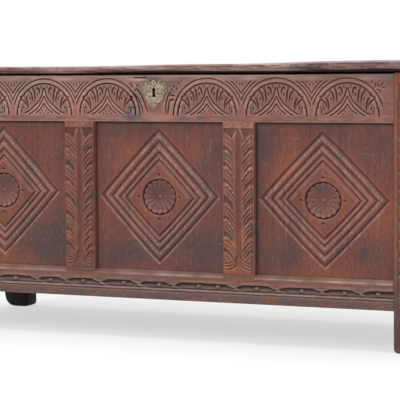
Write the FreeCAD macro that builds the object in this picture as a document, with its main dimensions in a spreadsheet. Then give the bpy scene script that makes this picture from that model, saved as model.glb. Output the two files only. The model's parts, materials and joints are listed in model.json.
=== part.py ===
import FreeCAD, Part
import Sketcher
import math
import os

# A joined oak coffer with a carved three-panel front, a planked lid on iron strap hinges and an iron chest lock.
# Millimetres. X runs along the front from left to right, the front looks towards -Y and Z is up.
# The origin is on the floor, under the middle of the chest's box.

SIZES = {
    # Carcase
    "carcase_width": 1364,
    "carcase_depth": 470,
    "stile_height": 646,
    "stile_width": 84,
    "stile_depth": 52,
    "foot_height": 98,
    "bottom_rail_height": 70,
    "top_rail_height": 113,
    "front_rail_drop": 3,
    "rail_thickness": 32,
    "muntin_width": 79,
    "end_rail_thickness": 28,
    "end_muntin_width": 84,
    # Joints of the carcase
    "groove_setback": 15,
    "groove_width": 9,
    "groove_depth": 11,
    "end_groove_setback": 12,
    "tenon_length": 45,
    "end_tenon_length": 34,
    "muntin_tenon_length": 38,
    "tenon_shoulder": 14,
    "joint_clearance": 0.1,
    "mortise_spare": 1,
    "tongue_spare": 2,
    "peg_radius": 4.5,
    "peg_proud": 0.8,
    "peg_clearance": 0.05,
    "peg_spacing": 44,
    "low_peg_spacing": 26,
    "end_peg_length": 26,
    # Front panels
    "panel_thickness": 14,
    "panel_bevel": 30,
    "lozenge_width": 312,
    "lozenge_height": 324,
    "lozenge_groove": 4,
    "lozenge_cut": 3.5,
    "lozenge_outer_ridge": 14,
    "lozenge_inner_ridge": 12,
    "lozenge_bead": 7,
    "rosette_radius": 43.5,
    "rosette_rim": 4,
    "rosette_eye_radius": 9,
    "rosette_sinking": 3.5,
    "petal_count": 16,
    "petal_cut": 2.4,
    # Carved front rails
    "lunette_first": 132.5,
    "lunette_pitch": 176.5,
    "lunette_radius": 86,
    "lunette_band": 9.5,
    "lunette_base": 16,
    "lunette_cut": 2.5,
    "chamfer_rise": 9,
    "chamfer_run": 11,
    # Floor
    "floor_thickness": 12,
    "floor_rise": 22,
    "floor_groove_depth": 10,
    "floor_board_count": 5,
    "board_gap": 0.5,
    # Lid
    "lid_thickness": 28,
    "lid_front_overhang": 26,
    "lid_end_overhang": 24,
    "lid_clearance": 0.3,
    "lid_edge_radius": 7,
    "lid_under_bevel": 4,
    "cleat_width": 20,
    "cleat_height": 26,
    "cleat_clearance": 2,
    "cleat_peg_inset": 60,
    "cleat_peg_bite": 18,
    # Hinges
    "hinge_place": 420,
    "strap_length": 330,
    "strap_width": 34,
    "strap_tip_width": 20,
    "strap_tip_length": 24,
    "strap_thickness": 3,
    "leaf_length": 84,
    "leaf_thickness": 3,
    "knuckle_radius": 6,
    "knuckle_width": 12,
    "knuckle_gap": 0.5,
    "hinge_pin_radius": 3,
    "pin_clearance": 0.05,
    "pin_head_radius": 5,
    "pin_head_height": 3,
    "strap_clearance": 0.3,
    "nail_radius": 2,
    "nail_length": 20,
    "nail_head_radius": 5,
    "nail_head_height": 1.8,
    "nail_clearance": 0.05,
    "strap_nail_first": 56,
    "strap_nail_end": 40,
    "strap_nail_count": 4,
    "leaf_nail_first": 22,
    "leaf_nail_pitch": 26,
    # Lock
    "lock_left": 6.5,
    "key_drop": 36,
    "keyhole_radius": 4.6,
    "keyhole_slot_width": 7.5,
    "keyhole_slot_length": 18,
    "lock_recess_width": 116,
    "lock_recess_rise": 27,
    "lock_recess_fall": 51,
    "lock_recess_depth": 16,
    "lock_plate_margin": 8,
    "lock_plate_thickness": 2.5,
    "lock_nail_length": 15,
    "lock_nail_inset": 12,
    "bolt_rise": 14,
    "bolt_length": 58,
    "bolt_height": 10,
    "bolt_thickness": 5,
    "bolt_nose": 6,
    "bolt_travel": 14,
    "bolt_clearance": 0.3,
    "talon_width": 9,
    "talon_depth": 4,
    "keep_width": 6,
    "keep_wall": 2.5,
    "left_keep_place": 36,
    "right_keep_place": 8,
    "spring_thickness": 1.2,
    "spring_length": 15,
    "spring_rise": 5,
    "bolt_bite": 5,
    "staple_thickness": 4,
    "staple_width": 12,
    "staple_eye_clearance": 1,
    "staple_web": 3,
    "staple_room": 2.5,
    "staple_plate_length": 34,
    "staple_plate_width": 18,
    "staple_plate_thickness": 2.5,
    # Escutcheon
    "escutcheon_thickness": 1.6,
    "escutcheon_shoulder": 30,
    "escutcheon_waist": 24,
    "escutcheon_rise": 18,
    "escutcheon_fall": 40,
    "crest_lobe_radius": 5.5,
    "side_lobe_radius": 6,
    "tip_lobe_radius": 5,
    "lobe_hole_radius": 2,
    "tack_radius": 1.2,
    "tack_length": 10,
    "tack_head_radius": 2.2,
    "tack_head_height": 0.8,
}
OVERCUT = 1.0

doc = FreeCAD.newDocument("coffer_chest")
sheet = doc.addObject("Spreadsheet::Sheet", "sizes")
for row, (word, number) in enumerate(SIZES.items(), 1):
    sheet.set(f"A{row}", word)
    sheet.set(f"B{row}", str(number))
    sheet.setAlias(f"B{row}", word)
doc.recompute()


class Size:
    """A cell of the sheet, or a formula of cells, with its value as the sheet stands."""

    def __init__(self, formula, value):
        self.formula = formula
        self.value = value

    def joined(self, sign, other, value):
        return Size(f"({self.formula} {sign} {other.formula})", value)

    def __add__(self, other):
        other = as_size(other)
        return self.joined("+", other, self.value + other.value)

    def __sub__(self, other):
        other = as_size(other)
        return self.joined("-", other, self.value - other.value)

    def __mul__(self, other):
        other = as_size(other)
        return self.joined("*", other, self.value * other.value)

    def __truediv__(self, other):
        other = as_size(other)
        return self.joined("/", other, self.value / other.value)

    def __radd__(self, other):
        return as_size(other) + self

    def __rsub__(self, other):
        return as_size(other) - self

    def __rmul__(self, other):
        return as_size(other) * self

    def __neg__(self):
        return as_size(0) - self


def as_size(thing):
    if isinstance(thing, Size):
        return thing
    return Size(repr(float(thing)), float(thing))


def root(size):
    return Size(f"sqrt({size.formula})", math.sqrt(size.value))


class Cells:
    """The sheet's cells by name."""

    def __getattr__(self, word):
        return Size(f"sizes.{word}", float(sheet.get(word)))


cell = Cells()

# Planes that the whole chest is set out from
half = cell.carcase_width / 2
inner = half - cell.stile_width
knuckle_stand = cell.knuckle_radius + cell.knuckle_gap
whole_depth = cell.lid_front_overhang + cell.carcase_depth + knuckle_stand + cell.knuckle_radius
front = cell.lid_front_overhang - whole_depth / 2
rear = front + cell.carcase_depth
bottom_rail_top = cell.foot_height + cell.bottom_rail_height
front_rail_top = cell.stile_height - cell.front_rail_drop
top_rail_foot = front_rail_top - cell.top_rail_height
panel_width = (inner * 2 - cell.muntin_width * 2) / 3
muntin_place = (panel_width + cell.muntin_width) / 2
lid_foot = cell.stile_height + cell.lid_clearance
lid_top = lid_foot + cell.lid_thickness
lid_seam = (front - cell.lid_front_overhang + rear) / 2
hinge_axis_y = rear + knuckle_stand
hinge_axis_z = lid_foot - cell.strap_thickness / 2
peg_bore = cell.peg_radius + cell.peg_clearance
nail_bore = cell.nail_radius + cell.nail_clearance
tack_bore = cell.tack_radius + cell.nail_clearance
lock_x = -cell.lock_left
key_height = front_rail_top - cell.key_drop

SUBPARTS = []
TURN = {
    "x": FreeCAD.Rotation(FreeCAD.Vector(0, 1, 0), 90),
    "y": FreeCAD.Rotation(FreeCAD.Vector(1, 0, 0), -90),
    "z": FreeCAD.Rotation(),
}


# Shapes in the chest's frame
def bind(thing, formulas):
    for name, size in formulas.items():
        thing.setExpression(name, as_size(size).formula)


def block(x, y, z):
    """A squared block between two planes on each axis, each axis given as (low, high)."""
    made = doc.addObject("Part::Box", "block")
    bind(made, {
        "Length": x[1] - x[0],
        "Width": y[1] - y[0],
        "Height": z[1] - z[0],
        "Placement.Base.x": x[0],
        "Placement.Base.y": y[0],
        "Placement.Base.z": z[0],
    })
    return made


def rod(axis, span, radius, middle):
    """A round bar along one axis over a span; middle gives its place on the other two axes, in x, y, z order."""
    made = doc.addObject("Part::Cylinder", "rod")
    made.Placement = FreeCAD.Placement(FreeCAD.Vector(), TURN[axis])
    others = [letter for letter in "xyz" if letter != axis]
    bind(made, {"Radius": radius, "Height": span[1] - span[0], f"Placement.Base.{axis}": span[0]})
    bind(made, {f"Placement.Base.{letter}": place for letter, place in zip(others, middle)})
    return made


def wedge(x, y, z, x_far, z_far):
    """A tapered block: the x and z spans at the low y plane, and those at the high one."""
    made = doc.addObject("Part::Wedge", "wedge")
    bind(made, {
        "Xmin": x[0], "Xmax": x[1], "Ymin": y[0], "Ymax": y[1], "Zmin": z[0], "Zmax": z[1],
        "X2min": x_far[0], "X2max": x_far[1], "Z2min": z_far[0], "Z2max": z_far[1],
    })
    return made


def fuse(pieces):
    if len(pieces) == 1:
        return pieces[0]
    made = doc.addObject("Part::MultiFuse", "joined")
    made.Shapes = pieces
    made.Refine = True
    return made


def subpart(label, pieces, cuts=()):
    """One piece of the chest, under the name that its file takes."""
    made = fuse(pieces)
    if cuts:
        solid = made
        made = doc.addObject("Part::Cut", "cut")
        made.Base = solid
        made.Tool = fuse(list(cuts))
    made.Label = label
    SUBPARTS.append(made)
    return made


def group(label, pieces):
    """Like pieces that share one name, each its own solid."""
    made = doc.addObject("Part::Compound", "group")
    made.Links = pieces
    made.Label = label
    SUBPARTS.append(made)
    return made


def grown(span, by):
    return (span[0] - by, span[1] + by)


def about(middle, width):
    return (middle - width / 2, middle + width / 2)


def across(side, low, high):
    """A span on the right of the chest, or its mirror on the left."""
    return (low, high) if side > 0 else (-high, -low)


def deep(face, low, high):
    """A span of depth measured inwards from the front or the rear face of the carcase."""
    if face == "front":
        return (front + low, front + high)
    return (rear - high, rear - low)


# Sketches for the pieces that are drawn as outlines
def plane_of(body, role):
    return next(item for item in body.Origin.OriginFeatures if item.Role == role)


def sketch_on(body, role, lift=None):
    drawn = body.newObject("Sketcher::SketchObject", "outline")
    drawn.AttachmentSupport = (plane_of(body, role), [""])
    drawn.MapMode = "FlatFace"
    if lift is not None:
        bind(drawn, {"AttachmentOffset.Base.z": lift})
    return drawn


def hold(drawn, line, end, direction, size):
    """Hold one end of a line at a distance from the sketch's origin, or on an axis where that is nothing."""
    if abs(size.value) < 1e-9:
        axis = -2 if direction == "DistanceX" else -1
        drawn.addConstraint(Sketcher.Constraint("PointOnObject", line, end, axis))
        return
    held = drawn.addConstraint(Sketcher.Constraint(direction, -1, 1, line, end, size.value))
    drawn.setExpression(f"Constraints[{held}]", size.formula)


def draw_polygon(drawn, corners):
    """A closed outline of straight lines, with every corner held by its two distances."""
    corners = [(as_size(u), as_size(v)) for u, v in corners]
    points = [FreeCAD.Vector(u.value, v.value, 0) for u, v in corners]
    following = points[1:] + points[:1]
    lines = [drawn.addGeometry(Part.LineSegment(a, b), False) for a, b in zip(points, following)]
    for line, after in zip(lines, lines[1:] + lines[:1]):
        drawn.addConstraint(Sketcher.Constraint("Coincident", line, 2, after, 1))
    for line, (u, v) in zip(lines, corners):
        hold(drawn, line, 1, "DistanceX", u)
        hold(drawn, line, 1, "DistanceY", v)


def draw_circle(drawn, radius):
    """A circle about the sketch's origin."""
    circle = Part.Circle(FreeCAD.Vector(), FreeCAD.Vector(0, 0, 1), radius.value)
    ring = drawn.addGeometry(circle, False)
    drawn.addConstraint(Sketcher.Constraint("Coincident", ring, 3, -1, 1))
    held = drawn.addConstraint(Sketcher.Constraint("Radius", ring, radius.value))
    drawn.setExpression(f"Constraints[{held}]", radius.formula)


def pad(body, drawn, length, backwards=False):
    made = body.newObject("PartDesign::Pad", "pad")
    made.Profile = drawn
    made.Reversed = backwards
    bind(made, {"Length": length})
    return made


def pocket(body, drawn, depth):
    made = body.newObject("PartDesign::Pocket", "pocket")
    made.Profile = drawn
    bind(made, {"Length": depth})
    return made


def rectangle(x, y):
    return [(x[0], y[0]), (x[1], y[0]), (x[1], y[1]), (x[0], y[1])]


# Heights and places that the joints share
tenon_front = (cell.groove_setback + cell.joint_clearance,
               cell.groove_setback + cell.groove_width - cell.joint_clearance)
mortise_front = (cell.groove_setback, cell.groove_setback + cell.groove_width)
tenon_end = (cell.end_groove_setback + cell.joint_clearance,
             cell.end_groove_setback + cell.groove_width - cell.joint_clearance)
mortise_end = (cell.end_groove_setback, cell.end_groove_setback + cell.groove_width)
tongue_reach = cell.groove_depth - cell.tongue_spare
low_tenon = (cell.foot_height + cell.tenon_shoulder, bottom_rail_top - cell.tenon_shoulder)
high_tenon = (top_rail_foot + cell.tenon_shoulder, front_rail_top - cell.tenon_shoulder)
end_reach = (front + cell.stile_depth, rear - cell.stile_depth)


def pair(span, spacing):
    middle = (span[0] + span[1]) / 2
    return (middle - spacing / 2, middle + spacing / 2)


rail_peg_heights = [*pair(low_tenon, cell.low_peg_spacing), *pair(high_tenon, cell.peg_spacing)]
stile_peg_x = inner + cell.tenon_length / 2
end_peg_back = cell.stile_depth - cell.end_tenon_length / 2
muntin_peg_heights = (bottom_rail_top - cell.muntin_tenon_length / 2, top_rail_foot + cell.muntin_tenon_length / 2)


def long_pegs(face, proud, radius):
    """The pegs of the front or the rear frame: two through each rail tenon and one through each muntin tenon."""
    made = []
    for side in (-1, 1):
        for height in rail_peg_heights:
            made.append(rod("y", deep(face, -proud, cell.stile_depth), radius, (stile_peg_x * side, height)))
        for height in muntin_peg_heights:
            made.append(rod("y", deep(face, -proud, cell.rail_thickness), radius, (muntin_place * side, height)))
    return made


def end_pegs(side, proud, radius, spare):
    """The pegs of one end frame, driven in from its outer face."""
    span = across(side, half - cell.end_peg_length - spare, half + proud)
    made = []
    for back in (front + end_peg_back, rear - end_peg_back):
        for height in rail_peg_heights:
            made.append(rod("x", span, radius, (back, height)))
    span = across(side, half - cell.end_rail_thickness, half + proud)
    for height in muntin_peg_heights:
        made.append(rod("x", span, radius, ((front + rear) / 2, height)))
    return made


# Corner stiles, which run down to the floor as the feet
def stile(face, side):
    body = block(across(side, inner, half), deep(face, 0, cell.stile_depth), (as_size(0), cell.stile_height))
    mortise_x = across(side, inner - OVERCUT, inner + cell.tenon_length + cell.mortise_spare)
    groove_x = across(side, inner - OVERCUT, inner + cell.groove_depth)
    groove_z = (bottom_rail_top - cell.groove_depth, top_rail_foot + cell.groove_depth)
    end_x = across(side, half - mortise_end[1], half - mortise_end[0])
    end_mortise_y = deep(face, cell.stile_depth - cell.end_tenon_length - cell.mortise_spare,
                         cell.stile_depth + OVERCUT)
    end_groove_y = deep(face, cell.stile_depth - cell.groove_depth, cell.stile_depth + OVERCUT)
    cuts = [block(groove_x, deep(face, *mortise_front), groove_z), block(end_x, end_groove_y, groove_z)]
    for tenon in (low_tenon, high_tenon):
        height = grown(tenon, cell.joint_clearance)
        cuts.append(block(mortise_x, deep(face, *mortise_front), height))
        cuts.append(block(end_x, end_mortise_y, height))
    peg_y = deep(face, -OVERCUT, cell.stile_depth + OVERCUT)
    end_peg_x = across(side, half - cell.end_peg_length - cell.mortise_spare, half + OVERCUT)
    end_peg_y = deep(face, end_peg_back, end_peg_back)[0]
    for height in rail_peg_heights:
        cuts.append(rod("y", peg_y, peg_bore, (stile_peg_x * side, height)))
        cuts.append(rod("x", end_peg_x, peg_bore, (end_peg_y, height)))
    name = "left" if side < 0 else "right"
    subpart(f"{face}_{name}_stile", [body], cuts)


# Long rails and muntins of the front and rear frames
def long_rail(face, tenon, height, groove_z, mortise_z, peg_heights):
    """A rail with its two tenons, and the groove, mortises and peg holes cut in it."""
    pieces = [block((-inner, inner), deep(face, 0, cell.rail_thickness), height)]
    groove_y = deep(face, *mortise_front)
    cuts = [block((-inner, inner), groove_y, groove_z)]
    for side in (-1, 1):
        pieces.append(block(across(side, inner, inner + cell.tenon_length), deep(face, *tenon_front), tenon))
        mortise_x = about(muntin_place * side, cell.muntin_width - cell.tenon_shoulder * 2)
        cuts.append(block(grown(mortise_x, cell.joint_clearance), groove_y, mortise_z))
        for peg_height in rail_peg_heights:
            cuts.append(rod("y", deep(face, 0, cell.stile_depth), peg_bore, (stile_peg_x * side, peg_height)))
        for peg_height in peg_heights:
            span = deep(face, -OVERCUT, cell.rail_thickness + OVERCUT)
            cuts.append(rod("y", span, peg_bore, (muntin_place * side, peg_height)))
    return pieces, cuts


def bottom_rail(face):
    mortise_depth = cell.muntin_tenon_length + cell.mortise_spare
    pieces, cuts = long_rail(
        face, low_tenon, (cell.foot_height, bottom_rail_top),
        (bottom_rail_top - cell.groove_depth, bottom_rail_top + OVERCUT),
        (bottom_rail_top - mortise_depth, bottom_rail_top + OVERCUT), muntin_peg_heights[:1])
    groove_y = deep(face, cell.rail_thickness - cell.floor_groove_depth, cell.rail_thickness + OVERCUT)
    floor_z = cell.foot_height + cell.floor_rise
    cuts.append(block((-inner, inner), groove_y,
                      (floor_z - cell.joint_clearance, floor_z + cell.floor_thickness + cell.joint_clearance)))
    if face == "front":
        cuts += [bay_chamfer(place) for place in (-panel_pitch, as_size(0), panel_pitch)]
    subpart(f"{face}_bottom_rail", pieces, cuts)


panel_pitch = panel_width + cell.muntin_width


def bay_chamfer(place):
    """The sloped sill under one front panel, stopped against the muntin or stile on each side."""
    x = about(place, panel_width)
    slope = cell.chamfer_rise / cell.chamfer_run
    low = bottom_rail_top - cell.chamfer_rise - slope * OVERCUT
    high = bottom_rail_top + OVERCUT
    return wedge(x, (front - OVERCUT, front + cell.chamfer_run), (low, high), x, (bottom_rail_top, high))


def top_rail(face):
    mortise_depth = cell.muntin_tenon_length + cell.mortise_spare
    top = front_rail_top if face == "front" else cell.stile_height
    pieces, cuts = long_rail(
        face, high_tenon, (top_rail_foot, top),
        (top_rail_foot - OVERCUT, top_rail_foot + cell.groove_depth),
        (top_rail_foot - OVERCUT, top_rail_foot + mortise_depth), muntin_peg_heights[1:])
    cuts += lunettes() + lock_cuts() if face == "front" else strap_seats() + leaf_nail_rods(nail_bore)
    subpart(f"{face}_top_rail", pieces, cuts)


def lunettes():
    """The round-headed arches that are cut along the front rail, three on each side of the middle."""
    made = []
    for side in (-1, 1):
        for step in range(3):
            for radius in (cell.lunette_radius, cell.lunette_radius - cell.lunette_band):
                arch = doc.addObject("Part::Torus", "arch")
                arch.Angle3 = 180
                arch.Placement = FreeCAD.Placement(
                    FreeCAD.Vector(), FreeCAD.Rotation(FreeCAD.Vector(1, 0, 0), 90))
                bind(arch, {
                    "Radius1": radius, "Radius2": cell.lunette_cut,
                    "Placement.Base.x": (cell.lunette_first + cell.lunette_pitch * step) * side,
                    "Placement.Base.y": front,
                    "Placement.Base.z": top_rail_foot + cell.lunette_base,
                })
                made.append(arch)
    return made


def muntin(face, side):
    name = "left" if side < 0 else "right"
    middle = muntin_place * side
    tenon_x = about(middle, cell.muntin_width - cell.tenon_shoulder * 2)
    tenon_z = (bottom_rail_top - cell.muntin_tenon_length, top_rail_foot + cell.muntin_tenon_length)
    height = (bottom_rail_top, top_rail_foot)
    pieces = [
        block(about(middle, cell.muntin_width), deep(face, 0, cell.rail_thickness), height),
        block(tenon_x, deep(face, *tenon_front), tenon_z),
    ]
    groove_y = deep(face, *mortise_front)
    left, right = about(middle, cell.muntin_width)
    cuts = [
        block((left - OVERCUT, left + cell.groove_depth), groove_y, height),
        block((right - cell.groove_depth, right + OVERCUT), groove_y, height),
    ]
    for peg_height in muntin_peg_heights:
        cuts.append(rod("y", deep(face, 0, cell.rail_thickness), peg_bore, (middle, peg_height)))
    subpart(f"{face}_{name}_muntin", pieces, cuts)


# Panels of the front, which carry the carved lozenges
def lozenge(inset):
    """The four corners of the lozenge, drawn in by a width measured square to its sides."""
    wide = cell.lozenge_width / 2
    high = cell.lozenge_height / 2
    slant = root(wide * wide + high * high)
    u = wide - inset * slant / high
    v = high - inset * slant / wide
    return [(u, 0), (0, v), (-u, 0), (0, -v)]


def front_panel(name, place):
    opening_height = top_rail_foot - bottom_rail_top
    tongue_x = about(as_size(0), panel_width + tongue_reach * 2)
    tongue_z = about(as_size(0), opening_height + tongue_reach * 2)
    middle_z = (top_rail_foot + bottom_rail_top) / 2
    ground = front + tenon_front[0]
    board_thickness = tenon_front[1] - tenon_front[0]

    carved = doc.addObject("PartDesign::Body", "carved_panel")
    bind(carved, {"Placement.Base.x": place, "Placement.Base.y": ground, "Placement.Base.z": middle_z})
    board = sketch_on(carved, "XZ_Plane")
    draw_polygon(board, rectangle(tongue_x, tongue_z))
    pad(carved, board, board_thickness, backwards=True)

    # Four lozenge grooves, which leave two ridges and a bead standing between them
    grooves = sketch_on(carved, "XZ_Plane")
    inset = as_size(0)
    for land in (cell.lozenge_outer_ridge, cell.lozenge_inner_ridge, cell.lozenge_bead, as_size(0)):
        draw_polygon(grooves, lozenge(inset))
        draw_polygon(grooves, lozenge(inset + cell.lozenge_groove))
        inset = inset + cell.lozenge_groove + land
    pocket(carved, grooves, cell.lozenge_cut)

    rosette = sketch_on(carved, "XZ_Plane")
    draw_circle(rosette, cell.rosette_radius)
    draw_circle(rosette, cell.rosette_radius - cell.rosette_rim)
    pocket(carved, rosette, cell.rosette_sinking)
    petal = sketch_on(carved, "XZ_Plane")
    petal_x = (cell.rosette_eye_radius, cell.rosette_radius - cell.rosette_rim / 2)
    draw_polygon(petal, rectangle(petal_x, about(as_size(0), cell.petal_cut)))
    petal_pocket = pocket(carved, petal, cell.rosette_sinking / 2)
    petals = carved.newObject("PartDesign::PolarPattern", "petals")
    petals.Originals = [petal_pocket]
    petals.Axis = (plane_of(carved, "Y_Axis"), [""])
    bind(petals, {"Occurrences": cell.petal_count})
    carved.Tip = petals

    field_x = about(place, panel_width)
    field_z = (bottom_rail_top, top_rail_foot)
    back = front + tenon_front[1]
    field = wedge(field_x, (back, back + cell.panel_thickness - board_thickness), field_z,
                  grown(field_x, -cell.panel_bevel), grown(field_z, -cell.panel_bevel))
    subpart(f"front_{name}_panel", [carved, field])


def rear_panel(name, place):
    x = about(place, panel_width + tongue_reach * 2)
    z = (bottom_rail_top - tongue_reach, top_rail_foot + tongue_reach)
    subpart(f"rear_{name}_panel", [block(x, deep("rear", *tenon_front), z)])


# End frames
def end_rail(side, name, height, tenon, groove_z, mortise_z):
    middle = (front + rear) / 2
    groove_x = across(side, half - mortise_end[1], half - mortise_end[0])
    tenon_x = across(side, half - tenon_end[1], half - tenon_end[0])
    pieces = [
        block(across(side, half - cell.end_rail_thickness, half), end_reach, height),
        block(tenon_x, grown(end_reach, cell.end_tenon_length), tenon),
    ]
    mortise_y = about(middle, cell.end_muntin_width - cell.tenon_shoulder * 2)
    cuts = [
        block(groove_x, end_reach, groove_z),
        block(groove_x, grown(mortise_y, cell.joint_clearance), mortise_z),
    ]
    cuts += end_pegs(side, cell.mortise_spare, peg_bore, cell.mortise_spare)
    subpart(name, pieces, cuts)


def end_frame(side):
    end = "left_end" if side < 0 else "right_end"
    middle = (front + rear) / 2
    mortise_depth = cell.muntin_tenon_length + cell.mortise_spare
    end_rail(side, f"{end}_bottom_rail", (cell.foot_height, bottom_rail_top), low_tenon,
             (bottom_rail_top - cell.groove_depth, bottom_rail_top + OVERCUT),
             (bottom_rail_top - mortise_depth, bottom_rail_top + OVERCUT))
    end_rail(side, f"{end}_top_rail", (top_rail_foot, cell.stile_height), high_tenon,
             (top_rail_foot - OVERCUT, top_rail_foot + cell.groove_depth),
             (top_rail_foot - OVERCUT, top_rail_foot + mortise_depth))

    height = (bottom_rail_top, top_rail_foot)
    groove_x = across(side, half - mortise_end[1], half - mortise_end[0])
    tenon_x = across(side, half - tenon_end[1], half - tenon_end[0])
    near, far = about(middle, cell.end_muntin_width)
    pieces = [
        block(across(side, half - cell.end_rail_thickness, half), (near, far), height),
        block(tenon_x, about(middle, cell.end_muntin_width - cell.tenon_shoulder * 2),
              grown(height, cell.muntin_tenon_length)),
    ]
    cuts = [
        block(groove_x, (near - OVERCUT, near + cell.groove_depth), height),
        block(groove_x, (far - cell.groove_depth, far + OVERCUT), height),
    ]
    peg_x = across(side, half - cell.end_rail_thickness, half + OVERCUT)
    for peg_height in muntin_peg_heights:
        cuts.append(rod("x", peg_x, peg_bore, (middle, peg_height)))
    subpart(f"{end}_muntin", pieces, cuts)

    tongue_z = grown(height, tongue_reach)
    subpart(f"{end}_front_panel", [block(tenon_x, (end_reach[0] - tongue_reach, near + tongue_reach), tongue_z)])
    subpart(f"{end}_rear_panel", [block(tenon_x, (far - tongue_reach, end_reach[1] + tongue_reach), tongue_z)])
    group(f"{end}_pegs", end_pegs(side, cell.peg_proud, cell.peg_radius, as_size(0)))


# Floor boards, which run from the front rail's groove to the rear one
def floor():
    count = int(cell.floor_board_count.value)
    pitch = inner * 2 / count
    low = cell.foot_height + cell.floor_rise
    height = (low, low + cell.floor_thickness)
    bite = cell.floor_groove_depth - cell.tongue_spare
    reach = (front + cell.rail_thickness - bite, rear - cell.rail_thickness + bite)
    end_face = half - cell.end_rail_thickness - cell.board_gap
    for place in range(count):
        left = -inner + pitch * place + cell.board_gap / 2
        right = -inner + pitch * (place + 1) - cell.board_gap / 2
        corners = []
        if place == 0:
            left = -end_face
            corners += post_notches(-1, height)
        if place == count - 1:
            right = end_face
            corners += post_notches(1, height)
        subpart(f"floor_board_{place + 1}", [block((left, right), reach, height)], corners)


def post_notches(side, height):
    """Room for the two stiles at one end of the floor."""
    x = across(side, inner - cell.board_gap, half)
    depth = cell.stile_depth + cell.board_gap
    return [block(x, deep(face, 0, depth), grown(height, OVERCUT)) for face in ("front", "rear")]


# Lid of two planks, held by a cleat under each end
def plank(label, y, front_edge, cuts):
    """A lid plank with rounded top edges and bevelled under edges where it shows."""
    reach = half + cell.lid_end_overhang
    body = doc.addObject("PartDesign::Body", "plank")
    bind(body, {"Placement.Base.z": lid_foot})
    outline = sketch_on(body, "XY_Plane")
    draw_polygon(outline, rectangle((-reach, reach), y))
    board = pad(body, outline, cell.lid_thickness)
    doc.recompute()

    def shown(shape, height):
        found = []
        for number, edge in enumerate(shape.Edges, 1):
            middle = edge.CenterOfMass
            at_end = abs(abs(middle.x) - reach.value) < 1e-6
            at_front = front_edge and abs(middle.y - y[0].value) < 1e-6
            if abs(middle.z - height) < 1e-6 and (at_end or at_front):
                found.append(f"Edge{number}")
        return found

    rounded = body.newObject("PartDesign::Fillet", "rounded_edge")
    rounded.Base = (board, shown(board.Shape, cell.lid_thickness.value))
    bind(rounded, {"Radius": cell.lid_edge_radius})
    doc.recompute()
    bevelled = body.newObject("PartDesign::Chamfer", "under_bevel")
    bevelled.Base = (rounded, shown(rounded.Shape, 0))
    bind(bevelled, {"Size": cell.lid_under_bevel})
    body.Tip = bevelled
    subpart(label, [body], cuts)


def cleat_peg_rods(radius, spare):
    """Two pegs through each plank into each cleat."""
    made = []
    rows = (front + cell.cleat_peg_inset, lid_seam - cell.cleat_peg_inset,
            lid_seam + cell.cleat_peg_inset, rear - cell.cleat_peg_inset)
    span = (lid_foot - cell.cleat_peg_bite - spare, lid_top + spare)
    for side in (-1, 1):
        for row in rows:
            made.append(rod("z", span, radius, (cleat_middle * side, row)))
    return made


cleat_middle = half + cell.cleat_clearance + cell.cleat_width / 2


def lid():
    edge = front - cell.lid_front_overhang
    front_y = (edge, lid_seam - cell.board_gap / 2)
    rear_y = (lid_seam + cell.board_gap / 2, rear)
    bores = cleat_peg_rods(peg_bore, cell.mortise_spare) + strap_nail_rods(nail_bore, cell.mortise_spare)
    plank("lid_front_plank", front_y, True, bores + [staple_plate_seat()] + staple_nail_rods(nail_bore))
    bores = cleat_peg_rods(peg_bore, cell.mortise_spare) + strap_nail_rods(nail_bore, cell.mortise_spare)
    plank("lid_rear_plank", rear_y, False, bores)
    for side, name in ((-1, "left"), (1, "right")):
        x = about(cleat_middle * side, cell.cleat_width)
        body = block(x, (front, rear), (lid_foot - cell.cleat_height, lid_foot))
        subpart(f"lid_{name}_cleat", [body], cleat_peg_rods(peg_bore, cell.mortise_spare))
    group("cleat_pegs", cleat_peg_rods(cell.peg_radius, as_size(0)))


# Strap hinges, with the strap under the lid and the leaf on the back of the rear top rail
def strap_seats():
    """Shallow notches in the rear rail's top edge, which the straps lie in when the lid is shut."""
    depth = cell.strap_thickness + cell.strap_clearance - cell.lid_clearance
    made = []
    for side in (-1, 1):
        x = about(cell.hinge_place * side, cell.strap_width + cell.nail_head_radius)
        made.append(block(x, deep("rear", -OVERCUT, cell.rail_thickness + OVERCUT),
                          (cell.stile_height - depth, cell.stile_height + OVERCUT)))
    return made


def strap_nail_places():
    """Evenly spaced nails down each strap, from near its knuckle to near its tip."""
    count = int(cell.strap_nail_count.value)
    pitch = (cell.strap_length - cell.strap_nail_first - cell.strap_nail_end) / (count - 1)
    return [(cell.hinge_place * side, rear - cell.strap_nail_first - pitch * step)
            for side in (-1, 1) for step in range(count)]


def strap_nail_rods(radius, spare):
    span = (lid_foot - cell.strap_thickness - spare, lid_foot + cell.nail_length + spare)
    return [rod("z", span, radius, place) for place in strap_nail_places()]


def strap_nail_heads():
    foot = lid_foot - cell.strap_thickness
    return [rod("z", (foot - cell.nail_head_height, foot), cell.nail_head_radius, place)
            for place in strap_nail_places()]


def leaf_nail_places():
    top = hinge_axis_z - knuckle_stand
    return [(side, top - cell.leaf_nail_first - cell.leaf_nail_pitch * step)
            for side in (-1, 1) for step in range(2)]


def leaf_nail_rods(radius):
    span = (rear - cell.nail_length, rear + cell.leaf_thickness)
    return [rod("y", span, radius, (cell.hinge_place * side, height)) for side, height in leaf_nail_places()]


def leaf_nail_heads():
    span = (rear + cell.leaf_thickness, rear + cell.leaf_thickness + cell.nail_head_height)
    return [rod("y", span, cell.nail_head_radius, (cell.hinge_place * side, height))
            for side, height in leaf_nail_places()]


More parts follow.
